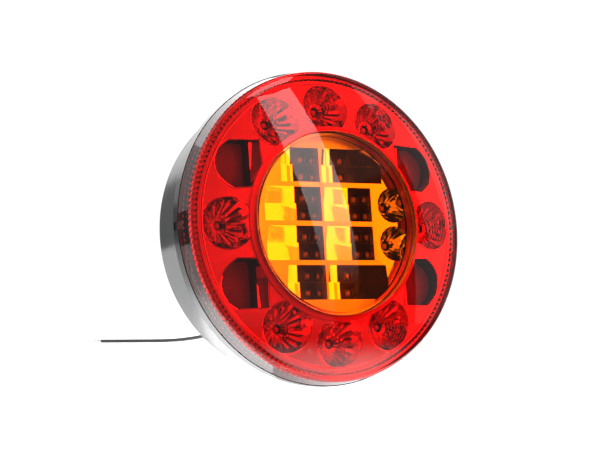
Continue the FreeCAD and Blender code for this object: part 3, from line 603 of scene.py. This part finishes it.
# ---------------------------------------------------------------- lenses
def add_outer_lens():
    """Red lens: dome, rounded shoulder, tongue, and a thick ring with a row of prism teeth."""
    teeth = 168
    per_tooth = 4
    tooth_depth = 0.18
    flute_depth = 0.5
    tooth_inner = RING_INNER + 0.5
    tooth_outer = RING_OUTER - 0.6
    rise = dome(SHOULDER_TOP_RADIUS) - SHOULDER_BASE
    outline = [(SEAM_RADIUS, SEAM_GAP), (SHOULDER_RADIUS, SHOULDER_BASE)]
    for degrees in range(10, 90, 10):
        turn = math.radians(degrees)
        r = SHOULDER_TOP_RADIUS + (SHOULDER_RADIUS - SHOULDER_TOP_RADIUS) * math.cos(turn)
        outline.append((r, SHOULDER_BASE + rise * math.sin(turn)))
    outline += dome_line(SHOULDER_TOP_RADIUS, CENTER_RADIUS + EDGE_BREAK, 0, 16)
    opening = len(outline)
    outline.append((CENTER_RADIUS, dome(CENTER_RADIUS, EDGE_BREAK)))
    outline += dome_line(CENTER_RADIUS, RING_INNER, LENS_THICK, 14)
    first_tooth = len(outline)
    outline += [(r, RING_BACK) for r in (RING_INNER, tooth_inner, tooth_outer, RING_OUTER)]
    tongue = len(outline)
    outline += [
        (TONGUE_INNER, SEAM_GAP),
        (TONGUE_INNER, -TONGUE_DEPTH),
        (TONGUE_OUTER, -TONGUE_DEPTH),
        (TONGUE_OUTER, SEAM_GAP),
    ]
    coated = {i: 1 for i in range(tongue, len(outline))}
    coated[opening] = 2

    def ripple(k, i):
        wave = 1 - abs(2 * (k % per_tooth) / per_tooth - 1)
        if i in (first_tooth - 1, first_tooth):
            return flute_depth * wave, 0.0
        if i in (first_tooth + 1, first_tooth + 2):
            return 0.0, tooth_depth * wave
        return 0.0, 0.0

    bm = bmesh.new()
    lathe(bm, outline, teeth * per_tooth, ripple, coated)
    add_lug(bm)
    finish_piece("outer_lens_clear", bm, [RED_LENS, SEALANT, BOND], ["outer_lens"], 25)


def add_lug(bm):
    """Locating lug at nine o'clock, reaching back over the housing's band."""
    steps = 5
    half = math.asin(LUG_HALF / LUG_INNER)
    section = [
        (LUG_INNER, LUG_BACK),
        (SEAM_RADIUS, LUG_BACK),
        (SEAM_RADIUS, LUG_TOP - 0.6),
        (LUG_INNER + 0.5, LUG_TOP),
    ]
    rings = []
    for turn in spread(math.pi - half, math.pi + half, steps):
        across, along = math.cos(turn), math.sin(turn)
        rings.append([bm.verts.new((r * across, r * along, z)) for r, z in section])
    skin_rings(bm, rings)


def add_center_lens():
    """Amber lens: dome, glued flange and the skirt that reaches back to the reflector."""
    edge = CENTER_RADIUS - CENTER_GAP
    behind = LENS_THICK + CENTER_GAP / 2
    skirt_inner = edge - CENTER_SKIRT_WALL
    outline = dome_line(0, edge - EDGE_BREAK, 0, 20)
    rim = len(outline)
    outline += [
        (edge, dome(edge, EDGE_BREAK)),
        (edge, dome(edge, behind)),
        (CENTER_FLANGE, dome(CENTER_FLANGE, behind)),
        (CENTER_FLANGE, dome(CENTER_FLANGE, behind + CENTER_FLANGE_THICK)),
        (edge, dome(edge, behind + CENTER_FLANGE_THICK)),
    ]
    bonded = {i: 1 for i in range(rim, len(outline))}
    outline += [(edge, CENTER_SKIRT_BACK), (skirt_inner, CENTER_SKIRT_BACK)]
    outline += dome_line(skirt_inner, 0, LENS_THICK, 20)
    bm = bmesh.new()
    lathe(bm, outline, 192, coated=bonded)
    finish_piece("center_lens_clear", bm, [AMBER_LENS, BOND], ["center_lens"], 25)


# ---------------------------------------------------------------- outer reflector
def circle_points(x, y, radius, count, start=0.0):
    """Points round a circle."""
    turns = [start + 2 * math.pi * k / count for k in range(count)]
    return [(x + radius * math.cos(turn), y + radius * math.sin(turn)) for turn in turns]


def inside(point, polygon):
    """True if a point lies in a polygon."""
    x, y = point
    found = False
    for (x0, y0), (x1, y1) in zip(polygon, polygon[1:] + polygon[:1]):
        if (y0 > y) != (y1 > y) and x < (x1 - x0) * (y - y0) / (y1 - y0) + x0:
            found = not found
    return found


def window_outline(side, level, flat):
    """D-shaped opening with its flat side at a distance from the middle, rounded outside."""
    roundness = 2.4
    edge = WINDOW_OUTSIDE - WINDOW_BULGE
    middle = (WINDOW_LOW + WINDOW_HIGH) / 2
    half = (WINDOW_HIGH - WINDOW_LOW) / 2
    points = []
    for share in spread(-1, 1, 15):
        bow = WINDOW_BULGE * (1 - abs(share) ** roundness)
        points.append((edge + bow, middle + half * share))
    points += [(WINDOW_INSIDE, WINDOW_HIGH)]
    points += [(flat, y) for y in spread(WINDOW_HIGH, WINDOW_LOW, 12)]
    points += [(WINDOW_INSIDE, WINDOW_LOW)]
    placed = [(side * x, level * y) for x, y in points]
    return placed if side * level > 0 else placed[::-1]


def clear_of_center(points):
    """Points of an outline kept off the panel's inner edge, by pushing them outwards."""
    radius = PANEL_INNER + PANEL_MARGIN
    kept = []
    for x, y in points:
        scale = max(1.0, radius / math.hypot(x, y))
        kept.append((x * scale, y * scale))
    return kept


def panel_height(x, y):
    """Height of the panel's front, which follows the dome."""
    return dome(math.hypot(x, y), PANEL_DROP)


def add_outer_reflector():
    """Metallised panel that follows the dome, with eight faceted bowls and four windows."""
    columns = 36
    bm = bmesh.new()
    openings = []
    for hour in range(1, CUP_COUNT + 1):
        if hour in WINDOW_CLOCKS:
            continue
        x, y = clock_point(hour, CUP_PITCH_RADIUS)
        rim = clear_of_center(circle_points(x, y, CUP_RADIUS, columns, math.atan2(y, x)))
        openings.append(add_lip(bm, rim))
        add_bowl(bm, x, y, rim)
    for side in (-1, 1):
        for level in (-1, 1):
            openings.append(add_lip(bm, add_window(bm, side, level)))
    add_panel(bm, openings)
    finish_piece("outer_reflector_plated", bm, [SHADED_CUP_MIRROR, SMOKED, SATIN, MIRROR, DARK_WALL],
                 ["outer_reflector"], 12)


def add_lip(bm, rim):
    """Small raised lip round an opening; returns the lip's outer line."""
    count = len(rim)
    cx = sum(x for x, _ in rim) / count
    cy = sum(y for _, y in rim) / count
    points = []
    for reach, lift in LIP_SECTION:
        line = []
        for x, y in rim:
            away = 1 + reach / math.hypot(x - cx, y - cy)
            line.append((cx + (x - cx) * away, cy + (y - cy) * away))
        points += [(x, y, panel_height(x, y) + lift * LIP_HEIGHT) for x, y in line]
    add_faces(bm, points, grid_faces(len(LIP_SECTION), count), 3)
    return line


def bowl_height(share):
    """Height share of a bowl's wall at a share of the way from its throat to its mouth."""
    return share ** 1.5


def add_bowl(bm, cx, cy, rim):
    """Bowl of fluted facets between its rim and the LED's throat, with its skirt below."""
    levels = 18
    flute = 0.6
    raised = 0.09
    throat = 2.3
    points = []
    for i in range(levels + 1):
        share = (1 - i / levels) ** 0.8
        depth = flute * (0.3 + 0.7 * share) * min(1.0, 4 * (1 - share))
        for k, (x, y) in enumerate(rim):
            dx, dy = x - cx, y - cy
            reach = math.hypot(dx, dy)
            radius = throat + (reach - throat) * share - (depth if k % 2 else 0.0)
            z = CUP_FLOOR + (panel_height(x, y) - CUP_FLOOR) * bowl_height(share)
            z += raised if i % 2 else 0.0
            points.append((cx + dx / reach * radius, cy + dy / reach * radius, z))
    points += [(x, y, OFF_BOARD) for x, y, _ in points[-len(rim):]]
    add_faces(bm, points, grid_faces(levels + 2, len(rim)))


def add_window(bm, side, level):
    """Deep smoked pocket with a shallow ledge along its flat side; returns its opening."""
    rim = clear_of_center(window_outline(side, level, WINDOW_INSIDE - LEDGE_WIDTH))
    add_wall(bm, rim, panel_height, LEDGE_FLOOR)
    deep = clear_of_center(window_outline(side, level, WINDOW_INSIDE))
    deep = [p for p, q in zip(deep, deep[1:] + deep[:1]) if math.dist(p, q) > 0.01]
    fill_flat(bm, rim, [deep], lambda x, y: LEDGE_FLOOR, 3)
    add_wall(bm, deep, lambda x, y: LEDGE_FLOOR, CUP_FLOOR)
    fill_flat(bm, deep, [], lambda x, y: CUP_FLOOR, 1)
    return rim


def add_wall(bm, outline, top, floor):
    """Upright wall of a window, metallised on its flat side and dark elsewhere."""
    for (x0, y0), (x1, y1) in zip(outline, outline[1:] + outline[:1]):
        on_flat = max(abs(x0), abs(x1)) < WINDOW_INSIDE - 0.1
        corners = [(x0, y0, top(x0, y0)), (x1, y1, top(x1, y1)), (x1, y1, floor), (x0, y0, floor)]
        add_faces(bm, corners, [(0, 1, 2, 3)], 2 if on_flat else 4)


def fill_flat(bm, outline, holes, height, index, extra=()):
    """Triangles between an outline, its holes and extra points, lifted to height(x, y)."""
    points = []
    edges = []
    for ring in [outline] + holes:
        base = len(points)
        points += [Vector(p) for p in ring]
        edges += [(base + k, base + (k + 1) % len(ring)) for k in range(len(ring))]
    points += [Vector(p) for p in extra]
    made, _, faces, *_ = delaunay_2d_cdt(points, edges, [], 0, 1e-5)
    kept = []
    for face in faces:
        x = sum(made[i].x for i in face) / 3
        y = sum(made[i].y for i in face) / 3
        if inside((x, y), outline) and not any(inside((x, y), hole) for hole in holes):
            kept.append(tuple(face))
    add_faces(bm, [(p.x, p.y, height(p.x, p.y)) for p in made], kept, index)


def add_panel(bm, openings):
    """Front of the panel between its openings, its outer rim and its inner edge."""
    spacing = 1.7
    clearance = 0.7
    rim_steps = 240
    inner_steps = 168
    extra = []
    reach = int(PANEL_OUTER / spacing) + 1
    for i in range(-reach, reach + 1):
        for j in range(-reach, reach + 1):
            x = (i + 0.5 * (j % 2)) * spacing
            y = j * spacing * math.sqrt(3) / 2
            on_panel = PANEL_INNER + PANEL_MARGIN < math.hypot(x, y) < PANEL_OUTER - PANEL_MARGIN
            if on_panel and not near_any((x, y), openings, clearance):
                extra.append((x, y))
    outer = circle_points(0, 0, PANEL_OUTER, rim_steps)
    inner = circle_points(0, 0, PANEL_INNER, inner_steps)
    fill_flat(bm, outer, [inner] + openings, panel_height, 2, extra)
    inner_wall = [(PANEL_INNER, dome(PANEL_INNER, PANEL_DROP)), (PANEL_INNER, INNER_WALL_LOW)]
    add_strips(bm, inner_wall, inner_steps, 2)
    bead = []
    for share in (-1, -0.7, 0, 0.7, 1):
        r = BEAD_RING + BEAD_HALF_WIDTH * share
        bead.append((r, dome(r, PANEL_DROP) + BEAD_HEIGHT * math.sqrt(1 - share**2)))
    add_strips(bm, bead, rim_steps, 3)
    skirt = [
        (PANEL_OUTER, dome(PANEL_OUTER, PANEL_DROP)),
        (PANEL_OUTER, FLANGE_TOP),
        (FLANGE_OUTER, FLANGE_TOP),
        (FLANGE_OUTER, FLANGE_LOW),
        (PANEL_OUTER, FLANGE_LOW),
        (PANEL_OUTER, OFF_BOARD),
    ]
    add_strips(bm, skirt, rim_steps, 2)


def add_strips(bm, profile, segments, index):
    """Turned strips along an open outline of (radius, height) points."""
    points = []
    for r, z in profile:
        points += [(x, y, z) for x, y in circle_points(0, 0, r, segments)]
    add_faces(bm, points, grid_faces(len(profile), segments), index)


def near_any(point, outlines, margin):
    """True if a point lies in one of the outlines or close to its corners."""
    return any(inside(point, outline) or min(math.dist(point, p) for p in outline) < margin
               for outline in outlines)


# ---------------------------------------------------------------- centre reflector
def trough_cells():
    """Mouth (x0, x1, y0, y1), LED place and ramp length of each cell."""
    cells = []
    first = ROW_OFFSET - ROW_PITCH * (ROW_COUNT - 1) / 2
    half = (ROW_PITCH - ROW_RIB) / 2
    for row in range(ROW_COUNT):
        y0 = first + row * ROW_PITCH - half
        y1 = first + row * ROW_PITCH + half
        is_long = 0 < row < ROW_COUNT - 1
        left = LONG_ROW_LEFT if is_long else SHORT_ROW_LEFT
        right = LONG_ROW_RIGHT if is_long else SHORT_ROW_RIGHT
        right_led = LONG_LED_X if is_long else SHORT_LED_X
        left_ramp, right_ramp = LONG_RAMPS if is_long else SHORT_RAMPS
        cells.append((left, CELL_SPLIT - CELL_RIB / 2, y0, y1, LEFT_LED_X, left_ramp))
        cells.append((CELL_SPLIT + CELL_RIB / 2, right, y0, y1, right_led, right_ramp))
    return cells


def ramp(x0, length, drop, bow):
    """Points down the slope of a cell and its step, from its edge to the LED strip."""
    points = []
    for share in spread(0, 1, 9):
        sag = bow * math.sin(math.pi * share)
        points.append((x0 + length * share, TROUGH_FACE - drop * share - sag))
    return points + [(x0 + length, TROUGH_FLOOR)]


def bowl_places():
    """Middles of the two small bowls, between the rows."""
    return [(BOWL_X, ROW_OFFSET + side * ROW_PITCH / 2) for side in (-1, 1)]


def temp_object(name, bm):
    """Object in lamp millimetres, to be cut with or used up by a Boolean."""
    mesh = bpy.data.meshes.new(name)
    bmesh.ops.recalc_face_normals(bm, faces=bm.faces)
    bm.to_mesh(mesh)
    bm.free()
    return place_object(name, mesh)


def combine(target, others, operation):
    """Boolean of a mesh object with others, which are used up."""
    for other in others:
        step = target.modifiers.new("step", "BOOLEAN")
        step.operation = operation
        step.solver = "EXACT"
        step.object = other
    graph = bpy.context.evaluated_depsgraph_get()
    result = bpy.data.meshes.new_from_object(target.evaluated_get(graph))
    target.modifiers.clear()
    target.data = result
    for other in others:
        bpy.data.objects.remove(other)


def prism(points, y0, y1, shear=0.0):
    """Closed prism of an x-z outline between two y values, as an object in millimetres.
    A shear lowers it in proportion to y."""
    bm = bmesh.new()
    front = [bm.verts.new((x, y0, z)) for x, z in points]
    back = [bm.verts.new((x, y1, z - shear * (y1 - y0))) for x, z in points]
    bm.faces.new(front)
    bm.faces.new(back[::-1])
    count = len(points)
    for k in range(count):
        j = (k + 1) % count
        bm.faces.new((front[k], back[k], back[j], front[j]))
    return temp_object("cell", bm)


def round_solid(outline, segments, x=0.0, y=0.0):
    """Turned solid on the lamp's axis, or beside it, as an object in lamp millimetres."""
    bm = bmesh.new()
    lathe(bm, outline, segments)
    bmesh.ops.remove_doubles(bm, verts=bm.verts, dist=1e-4)
    bmesh.ops.translate(bm, vec=(x, y, 0), verts=bm.verts)
    return temp_object("round", bm)


def disc(radius, low, high):
    return round_solid([(0, low), (radius, low), (radius, high), (0, high)], 128)


def cell_cutters(x0, x1, y0, y1, led_x, length):
    """Solids that cut one cell: its lower and its upper half, whose slopes differ a little,
    and an opening for each LED."""
    far_edge = 0.6
    lower_bow = -0.15
    upper_bow = 0.28
    upper_drop = 1.06
    upper_shorter = 1.0
    split = 0.01
    drop = length * RAMP_SLOPE
    middle = (y0 + y1) / 2
    floor_end = min(led_x + LED_SLOT / 2, x1 - far_edge)
    far_side = [(floor_end, TROUGH_FLOOR), (x1, TROUGH_FACE), (x1, CUT_TOP)]
    lower = [(x0, CUT_TOP)] + ramp(x0, length, drop, lower_bow) + far_side
    upper = [(x0, CUT_TOP)] + ramp(x0, length - upper_shorter, drop * upper_drop, upper_bow)
    upper += far_side
    cutters = [prism(lower, y0, middle), prism(upper, middle + split, y1, UPPER_SHEAR)]
    left = led_x - LED_OPENING_X
    right = led_x + LED_OPENING_X
    opening = [(left, CUT_TOP), (left, CUT_BOTTOM), (right, CUT_BOTTOM), (right, CUT_TOP)]
    for side in (-1, 1):
        led_y = middle + side * LED_PAIR / 2
        cutters.append(prism(opening, led_y - LED_OPENING_Y, led_y + LED_OPENING_Y))
    return cutters


def bowl_cutter(x, y):
    """Solid that cuts one small bowl and the hole for its LED."""
    outline = [(0, CUT_BOTTOM), (BOWL_THROAT, CUT_BOTTOM)]
    for share in spread(0, 1, 9):
        radius = BOWL_THROAT + (BOWL_RADIUS - BOWL_THROAT) * share
        outline.append((radius, TROUGH_FLOOR + (TROUGH_FACE - TROUGH_FLOOR) * bowl_height(share)))
    outline += [(BOWL_RADIUS, CUT_TOP), (0, CUT_TOP)]
    return round_solid(outline, 20, x, y)


def add_center_reflector():
    """Plate with four rows of hopper cells, each in an upper and a lower half, and two bowls."""
    wall_inner = TROUGH_RADIUS - TROUGH_WALL
    upward = 0.9
    cutters = []
    for cell in trough_cells():
        cutters += cell_cutters(*cell)
    cutters += [bowl_cutter(x, y) for x, y in bowl_places()]
    for cutter in cutters:
        combine(cutter, [disc(wall_inner - 0.05, CUT_BOTTOM - 2, CUT_TOP + 1)], "INTERSECT")
    plate = disc(wall_inner + 0.6, TROUGH_FLOOR - 1, TROUGH_FACE)
    combine(plate, cutters, "DIFFERENCE")
    bm = bmesh.new()
    bm.from_mesh(plate.data)
    bpy.data.objects.remove(plate)
    rows_end = ROW_OFFSET + ROW_PITCH * ROW_COUNT / 2 - ROW_RIB / 2
    rows_start = rows_end - ROW_PITCH * ROW_COUNT + ROW_RIB
    for face in bm.faces:
        middle = face.calc_center_median()
        on_rib = abs(middle.x - CELL_SPLIT) < CELL_RIB / 2
        if face.normal.z <= upward:
            continue
        # the cells' floors take the near-black painted shade
        if middle.z < TROUGH_FLOOR + 0.3:
            face.material_index = 1
        elif on_rib or not rows_start < middle.y < rows_end:
            face.material_index = 2
    finish_piece("center_reflector_plated", bm, [MIRROR, CELL_FLOOR_SHADE, SATIN],
                 ["center_reflector"], 8)


# ---------------------------------------------------------------- LEDs
def led_model(bm, x, y, turn):
    """Surface-mounted LED: bevelled body and a clear bead."""
    place = Matrix.Translation((x, y, BOARD_TOP)) @ Matrix.Rotation(turn, 4, "Z")
    middle = place @ Matrix.Translation((0, 0, LED_BODY / 2))
    size = Matrix.Diagonal((LED_LENGTH, LED_WIDTH, LED_BODY, 1.0))
    body = bmesh.ops.create_cube(bm, size=1.0, matrix=middle @ size)
    edges = {e for v in body["verts"] for e in v.link_edges}
    bmesh.ops.bevel(bm, geom=list(edges), offset=0.18, segments=2, affect="EDGES")
    bead = bmesh.ops.create_uvsphere(bm, u_segments=20, v_segments=10, radius=LED_BEAD,
                                     matrix=place @ Matrix.Translation((0, 0, LED_BODY)))
    for face in {f for v in bead["verts"] for f in v.link_faces}:
        face.material_index = 1


def add_leds():
    """One LED in each bowl of the outer reflector, and those of the centre's cells and bowls."""
    outer = bmesh.new()
    for hour in range(1, CUP_COUNT + 1):
        if hour not in WINDOW_CLOCKS:
            x, y = clock_point(hour, CUP_PITCH_RADIUS)
            led_model(outer, x, y, math.radians(-30 * hour))
    finish_piece("outer_led_set", outer, [PACKAGE, BEAD], ["outer_leds"], 40)
    center = bmesh.new()
    for _, _, y0, y1, led_x, _ in trough_cells():
        for side in (-1, 1):
            led_model(center, led_x, (y0 + y1) / 2 + side * LED_PAIR / 2, 0)
    for x, y in bowl_places():
        led_model(center, x, y, 0)
    finish_piece("center_led_set", center, [PACKAGE, BEAD], ["center_leds"], 40)


# ---------------------------------------------------------------- studs
def add_studs():
    """M6 studs with a rolled thread and a narrowed end, in the rear face."""
    pitch = 1.0
    depth = 0.55
    chamfer = 0.5
    around = 32
    steps = int((STUD_OUT - 1.0) / pitch) * 8
    first = -REAR_DEPTH - 0.5
    length = STUD_OUT - 1.2
    bm = bmesh.new()
    for side in (-1, 1):
        x = side * STUD_SPACING / 2
        rings = []
        for k in range(steps + 1):
            low = first - length * k / steps
            to_end = min(1.0, (steps - k) / 5)
            fade = min(k / 6, to_end)
            ring = []
            for j in range(around):
                turn = 2 * math.pi * j / around
                phase = (low / pitch + j / around) % 1.0
                groove = depth * abs(2 * phase - 1)
                r = STUD_RADIUS - groove * fade - chamfer * (1 - to_end)
                ring.append(bm.verts.new((x + r * math.cos(turn), r * math.sin(turn), low)))
            rings.append(ring)
        skin_rings(bm, rings)
    finish_piece("threaded_studs", bm, [ZINC], ["mounting_studs"], 60)


# ---------------------------------------------------------------- CAD nodes that stay
def dress_nodes():
    """Materials on the CAD nodes that are shown as they are."""
    finishes = {
        "rear_housing": BLACK,
        "seam_sealant": SEALANT,
        "circuit_board": BOARD,
        "resistors": EPOXY,
        "diodes": EPOXY,
        "driver_chips": EPOXY,
        "capacitors": CAN,
        "board_screws": ZINC,
        "reflector_screws": ZINC,
        "breather_plug": RUBBER,
        "vent_membrane": MEMBRANE,
        "cable_grommet": RUBBER,
        "inner_lead": INSULATION,
        "inner_core": TIN,
        "solder_joint": TIN,
    }
    for name, material in finishes.items():
        for slot in nodes[name].material_slots:
            slot.material = material


# ---------------------------------------------------------------- studio
CARD_CENTER = Vector((0, 0, 0.07))
TABLE_RADIUS = 0.36


def direction(azimuth, elevation):
    """Unit vector; azimuth 0 is in front of the lamp and 90 on its right."""
    a = math.radians(azimuth)
    e = math.radians(elevation)
    return Vector((math.sin(a) * math.cos(e), -math.cos(a) * math.cos(e), math.sin(e)))


def stage_sheet(name, points, faces, material, hidden_from):
    """Sheet of the studio that only reflections and what shines through the lens can show."""
    mesh = bpy.data.meshes.new(name)
    mesh.from_pydata(points, [], faces)
    mesh.materials.append(material)
    sheet = place_object(name, mesh)
    for rays in ("camera", "shadow", "diffuse", *hidden_from):
        setattr(sheet, "visible_" + rays, False)


def add_card(name, azimuths, elevations, strength, narrowed=None, distance=1.1, fade=None,
             on_lens=True):
    """Curved studio card round the lamp: a softbox or a dark flag. Its azimuths may narrow
    towards the top, fade is the two elevations between which it brightens, and on_lens is
    False for one that only the reflectors behind the lens see."""
    shader = Shader(name)
    mottle = shader.node("ShaderNodeTexNoise", Scale=1.5)
    level = shader.range(mottle.outputs["Fac"], strength * 0.9, strength * 1.1)
    if fade:
        place = shader.node("ShaderNodeSeparateXYZ", [("Vector", shader.coords())])
        heights = [CARD_CENTER.z + distance * math.sin(math.radians(angle)) for angle in fade]
        rise = shader.range(place.outputs["Z"], 0.0, 1.0, *heights, smooth=True)
        level = shader.product(rise, level)
    glow = shader.node("ShaderNodeEmission", [("Strength", level)])
    shader.show(glow.outputs["Emission"])
    low, high = azimuths
    low_top, high_top = narrowed or azimuths
    count = 13
    points = []
    for share in spread(0, 1, count):
        elevation = elevations[0] + (elevations[1] - elevations[0]) * share
        left = low + (low_top - low) * share
        right = high + (high_top - high) * share
        for azimuth in spread(left, right, count):
            points.append(CARD_CENTER + direction(azimuth, elevation) * distance)
    faces = grid_faces(count, count, closed=False)
    stage_sheet(name, points, faces, shader.material, () if on_lens else ("glossy",))


def table_fan(azimuths, near, height):
    """Points and faces of a flat fan over the table, from a distance near to the table's edge."""
    count = 17
    lift = Vector((0, 0, height))
    points = []
    for azimuth in spread(*azimuths, count):
        aim = direction(azimuth, 0)
        points += [aim * near + lift, aim * TABLE_RADIUS + lift]
    return points, grid_faces(count, 2, closed=False)


def add_table_flag():
    """Grey card on the table in front of the lamp, which only the reflectors see."""
    shader = Shader("table_flag")
    grey = shader.blend(shader.noise(9.0), (0.40,) * 3, (0.46,) * 3)
    shader.link(grey, "Emission Color")
    shader.set(Base_Color=rgba(0, 0, 0), Emission_Strength=1.0, Specular_IOR_Level=0.0)
    points, faces = table_fan((-60, 90), 0.05, 0.0005)
    stage_sheet("table_flag", points, faces, shader.material, ("glossy",))


def add_table_shade(name, azimuths, near, far, glow, thins=None):
    """Veil over part of the table that thickens away from the lamp, for the lamp to mirror.
    With thins it thins out again between those two distances."""
    shader = Shader(name)
    reach = shader.distance()
    thickness = shader.range(reach, 0.0, 1.0, near, far, smooth=True)
    if thins:
        thickness = shader.product(thickness, shader.range(reach, 1.0, 0.0, *thins, smooth=True))
    clear = shader.node("ShaderNodeBsdfTransparent")
    grey = shader.node("ShaderNodeEmission", Strength=glow)
    shader.show(shader.mix(thickness, clear.outputs["BSDF"], grey.outputs["Emission"]))
    points, faces = table_fan(azimuths, near, 0.0008)
    stage_sheet(name, points, faces, shader.material, ("transmission",))


def add_floor():
    """Round pale table that glows in a painted pool of light round the lamp."""
    shader = Shader("floor")
    shader.paint(shader.noise(3.0), (0.90,) * 3, (0.92,) * 3)
    # painted light: the table glows brightest round the lamp and fades out by 0.17 m
    painted_glow_pool = shader.range(shader.distance(), 1.35, 0.0, 0.04, 0.17, smooth=True)
    shader.link(painted_glow_pool, "Emission Strength")
    shader.set(Roughness=0.6, Specular_IOR_Level=0.0, Emission_Color=rgba(1, 1, 1))
    bm = bmesh.new()
    bmesh.ops.create_circle(bm, cap_ends=True, segments=96, radius=TABLE_RADIUS)
    mesh = bpy.data.meshes.new("floor")
    bm.to_mesh(mesh)
    bm.free()
    mesh.materials.append(shader.material)
    floor = place_object("floor", mesh)
    floor.location.z = -0.0002


def add_top_light():
    """Small light overhead, which only lights matt surfaces."""
    light = bpy.data.lights.new("top", "AREA")
    light.shape = "DISK"
    light.size = 0.3
    light.spread = math.radians(34)
    light.energy = 0.8
    lamp = place_object("top", light)
    lamp.location = (0.0, 0.0, 1.1)
    lamp.visible_camera = False
    lamp.visible_glossy = False
    lamp.visible_transmission = False


def add_studio():
    """White surroundings, the table, and cards by azimuths, elevations and strength."""
    world = bpy.data.worlds.new("studio")
    world.use_nodes = True
    scene.world = world
    background = world.node_tree.nodes["Background"]
    background.inputs["Color"].default_value = rgba(1, 1, 1)
    background.inputs["Strength"].default_value = 1.05
    add_floor()

    # dark surroundings that the lens mirrors
    far = 1.3
    add_card("front_left", (-60, 28), (-20, 72), 0.26, distance=far)
    add_card("front_right", (28, 62), (-20, 27), 0.07, distance=far)
    add_card("front_right_high", (28, 62), (27, 72), 0.22, distance=far)
    add_card("front_edge", (62, 71), (-20, 40), 0.5, distance=far)
    add_card("front_corner", (55, 62.5), (-22, 10), 0.5, distance=1.28)
    add_table_shade("shade_in_front", (-60, 71), 0.07, 0.19, 0.15)

    # what the housing mirrors
    add_card("dark_right", (100, 148), (-30, 72), 0.03, distance=far)
    add_card("dark_above", (148, 215), (36, 80), 0.12, distance=far)
    add_card("dark_behind", (136, 228), (-20, 3), 0.25)
    add_card("bright_behind", (150, 200), (10, 34), 2.6)
    add_table_shade("shade_behind", (150, 222), 0.012, 0.04, 1.25)
    add_table_shade("glow_on_left", (-118, -50), 0.016, 0.055, 5.0, (0.065, 0.12))

    # the one softbox whose reflection lies over the lens
    add_card("key_strip", (25, 35.5), (2, 54), 3.7, (18, 35.3), fade=(1, 28))

    # light and shade that only the reflectors behind the lens see
    add_card("inner_dark", (-62, -14), (-20, 52), 0.03, distance=1.2, on_lens=False)
    add_card("inner_key", (24, 42), (8, 36), 3.6, distance=1.15, on_lens=False)
    add_card("inner_fill", (24, 45), (-6, 50), 0.8, distance=1.2, on_lens=False)
    add_card("inner_left_fill", (-14, 24), (-4, 42), 1.5, distance=1.2, on_lens=False)
    add_card("right_softbox", (45, 61.4), (-12, 30), 8.0, on_lens=False)
    add_card("right_low", (61.4, 67), (-14, 8), 8.0, on_lens=False)
    add_card("right_fill", (61.4, 67), (8, 30), 3.4, on_lens=False)
    add_card("right_high", (52, 67), (30, 60), 5.0, on_lens=False)
    add_card("right_far", (67, 98), (-14, 60), 8.0, on_lens=False)
    add_card("left_fill", (-95, -60), (-4, 14), 1.8, on_lens=False)
    add_table_flag()

    add_top_light()
    scene.view_settings.view_transform = "Standard"


add_camera()
add_lead()
add_outer_lens()
add_center_lens()
add_outer_reflector()
add_center_reflector()
add_leds()
add_studs()
dress_nodes()
add_studio()
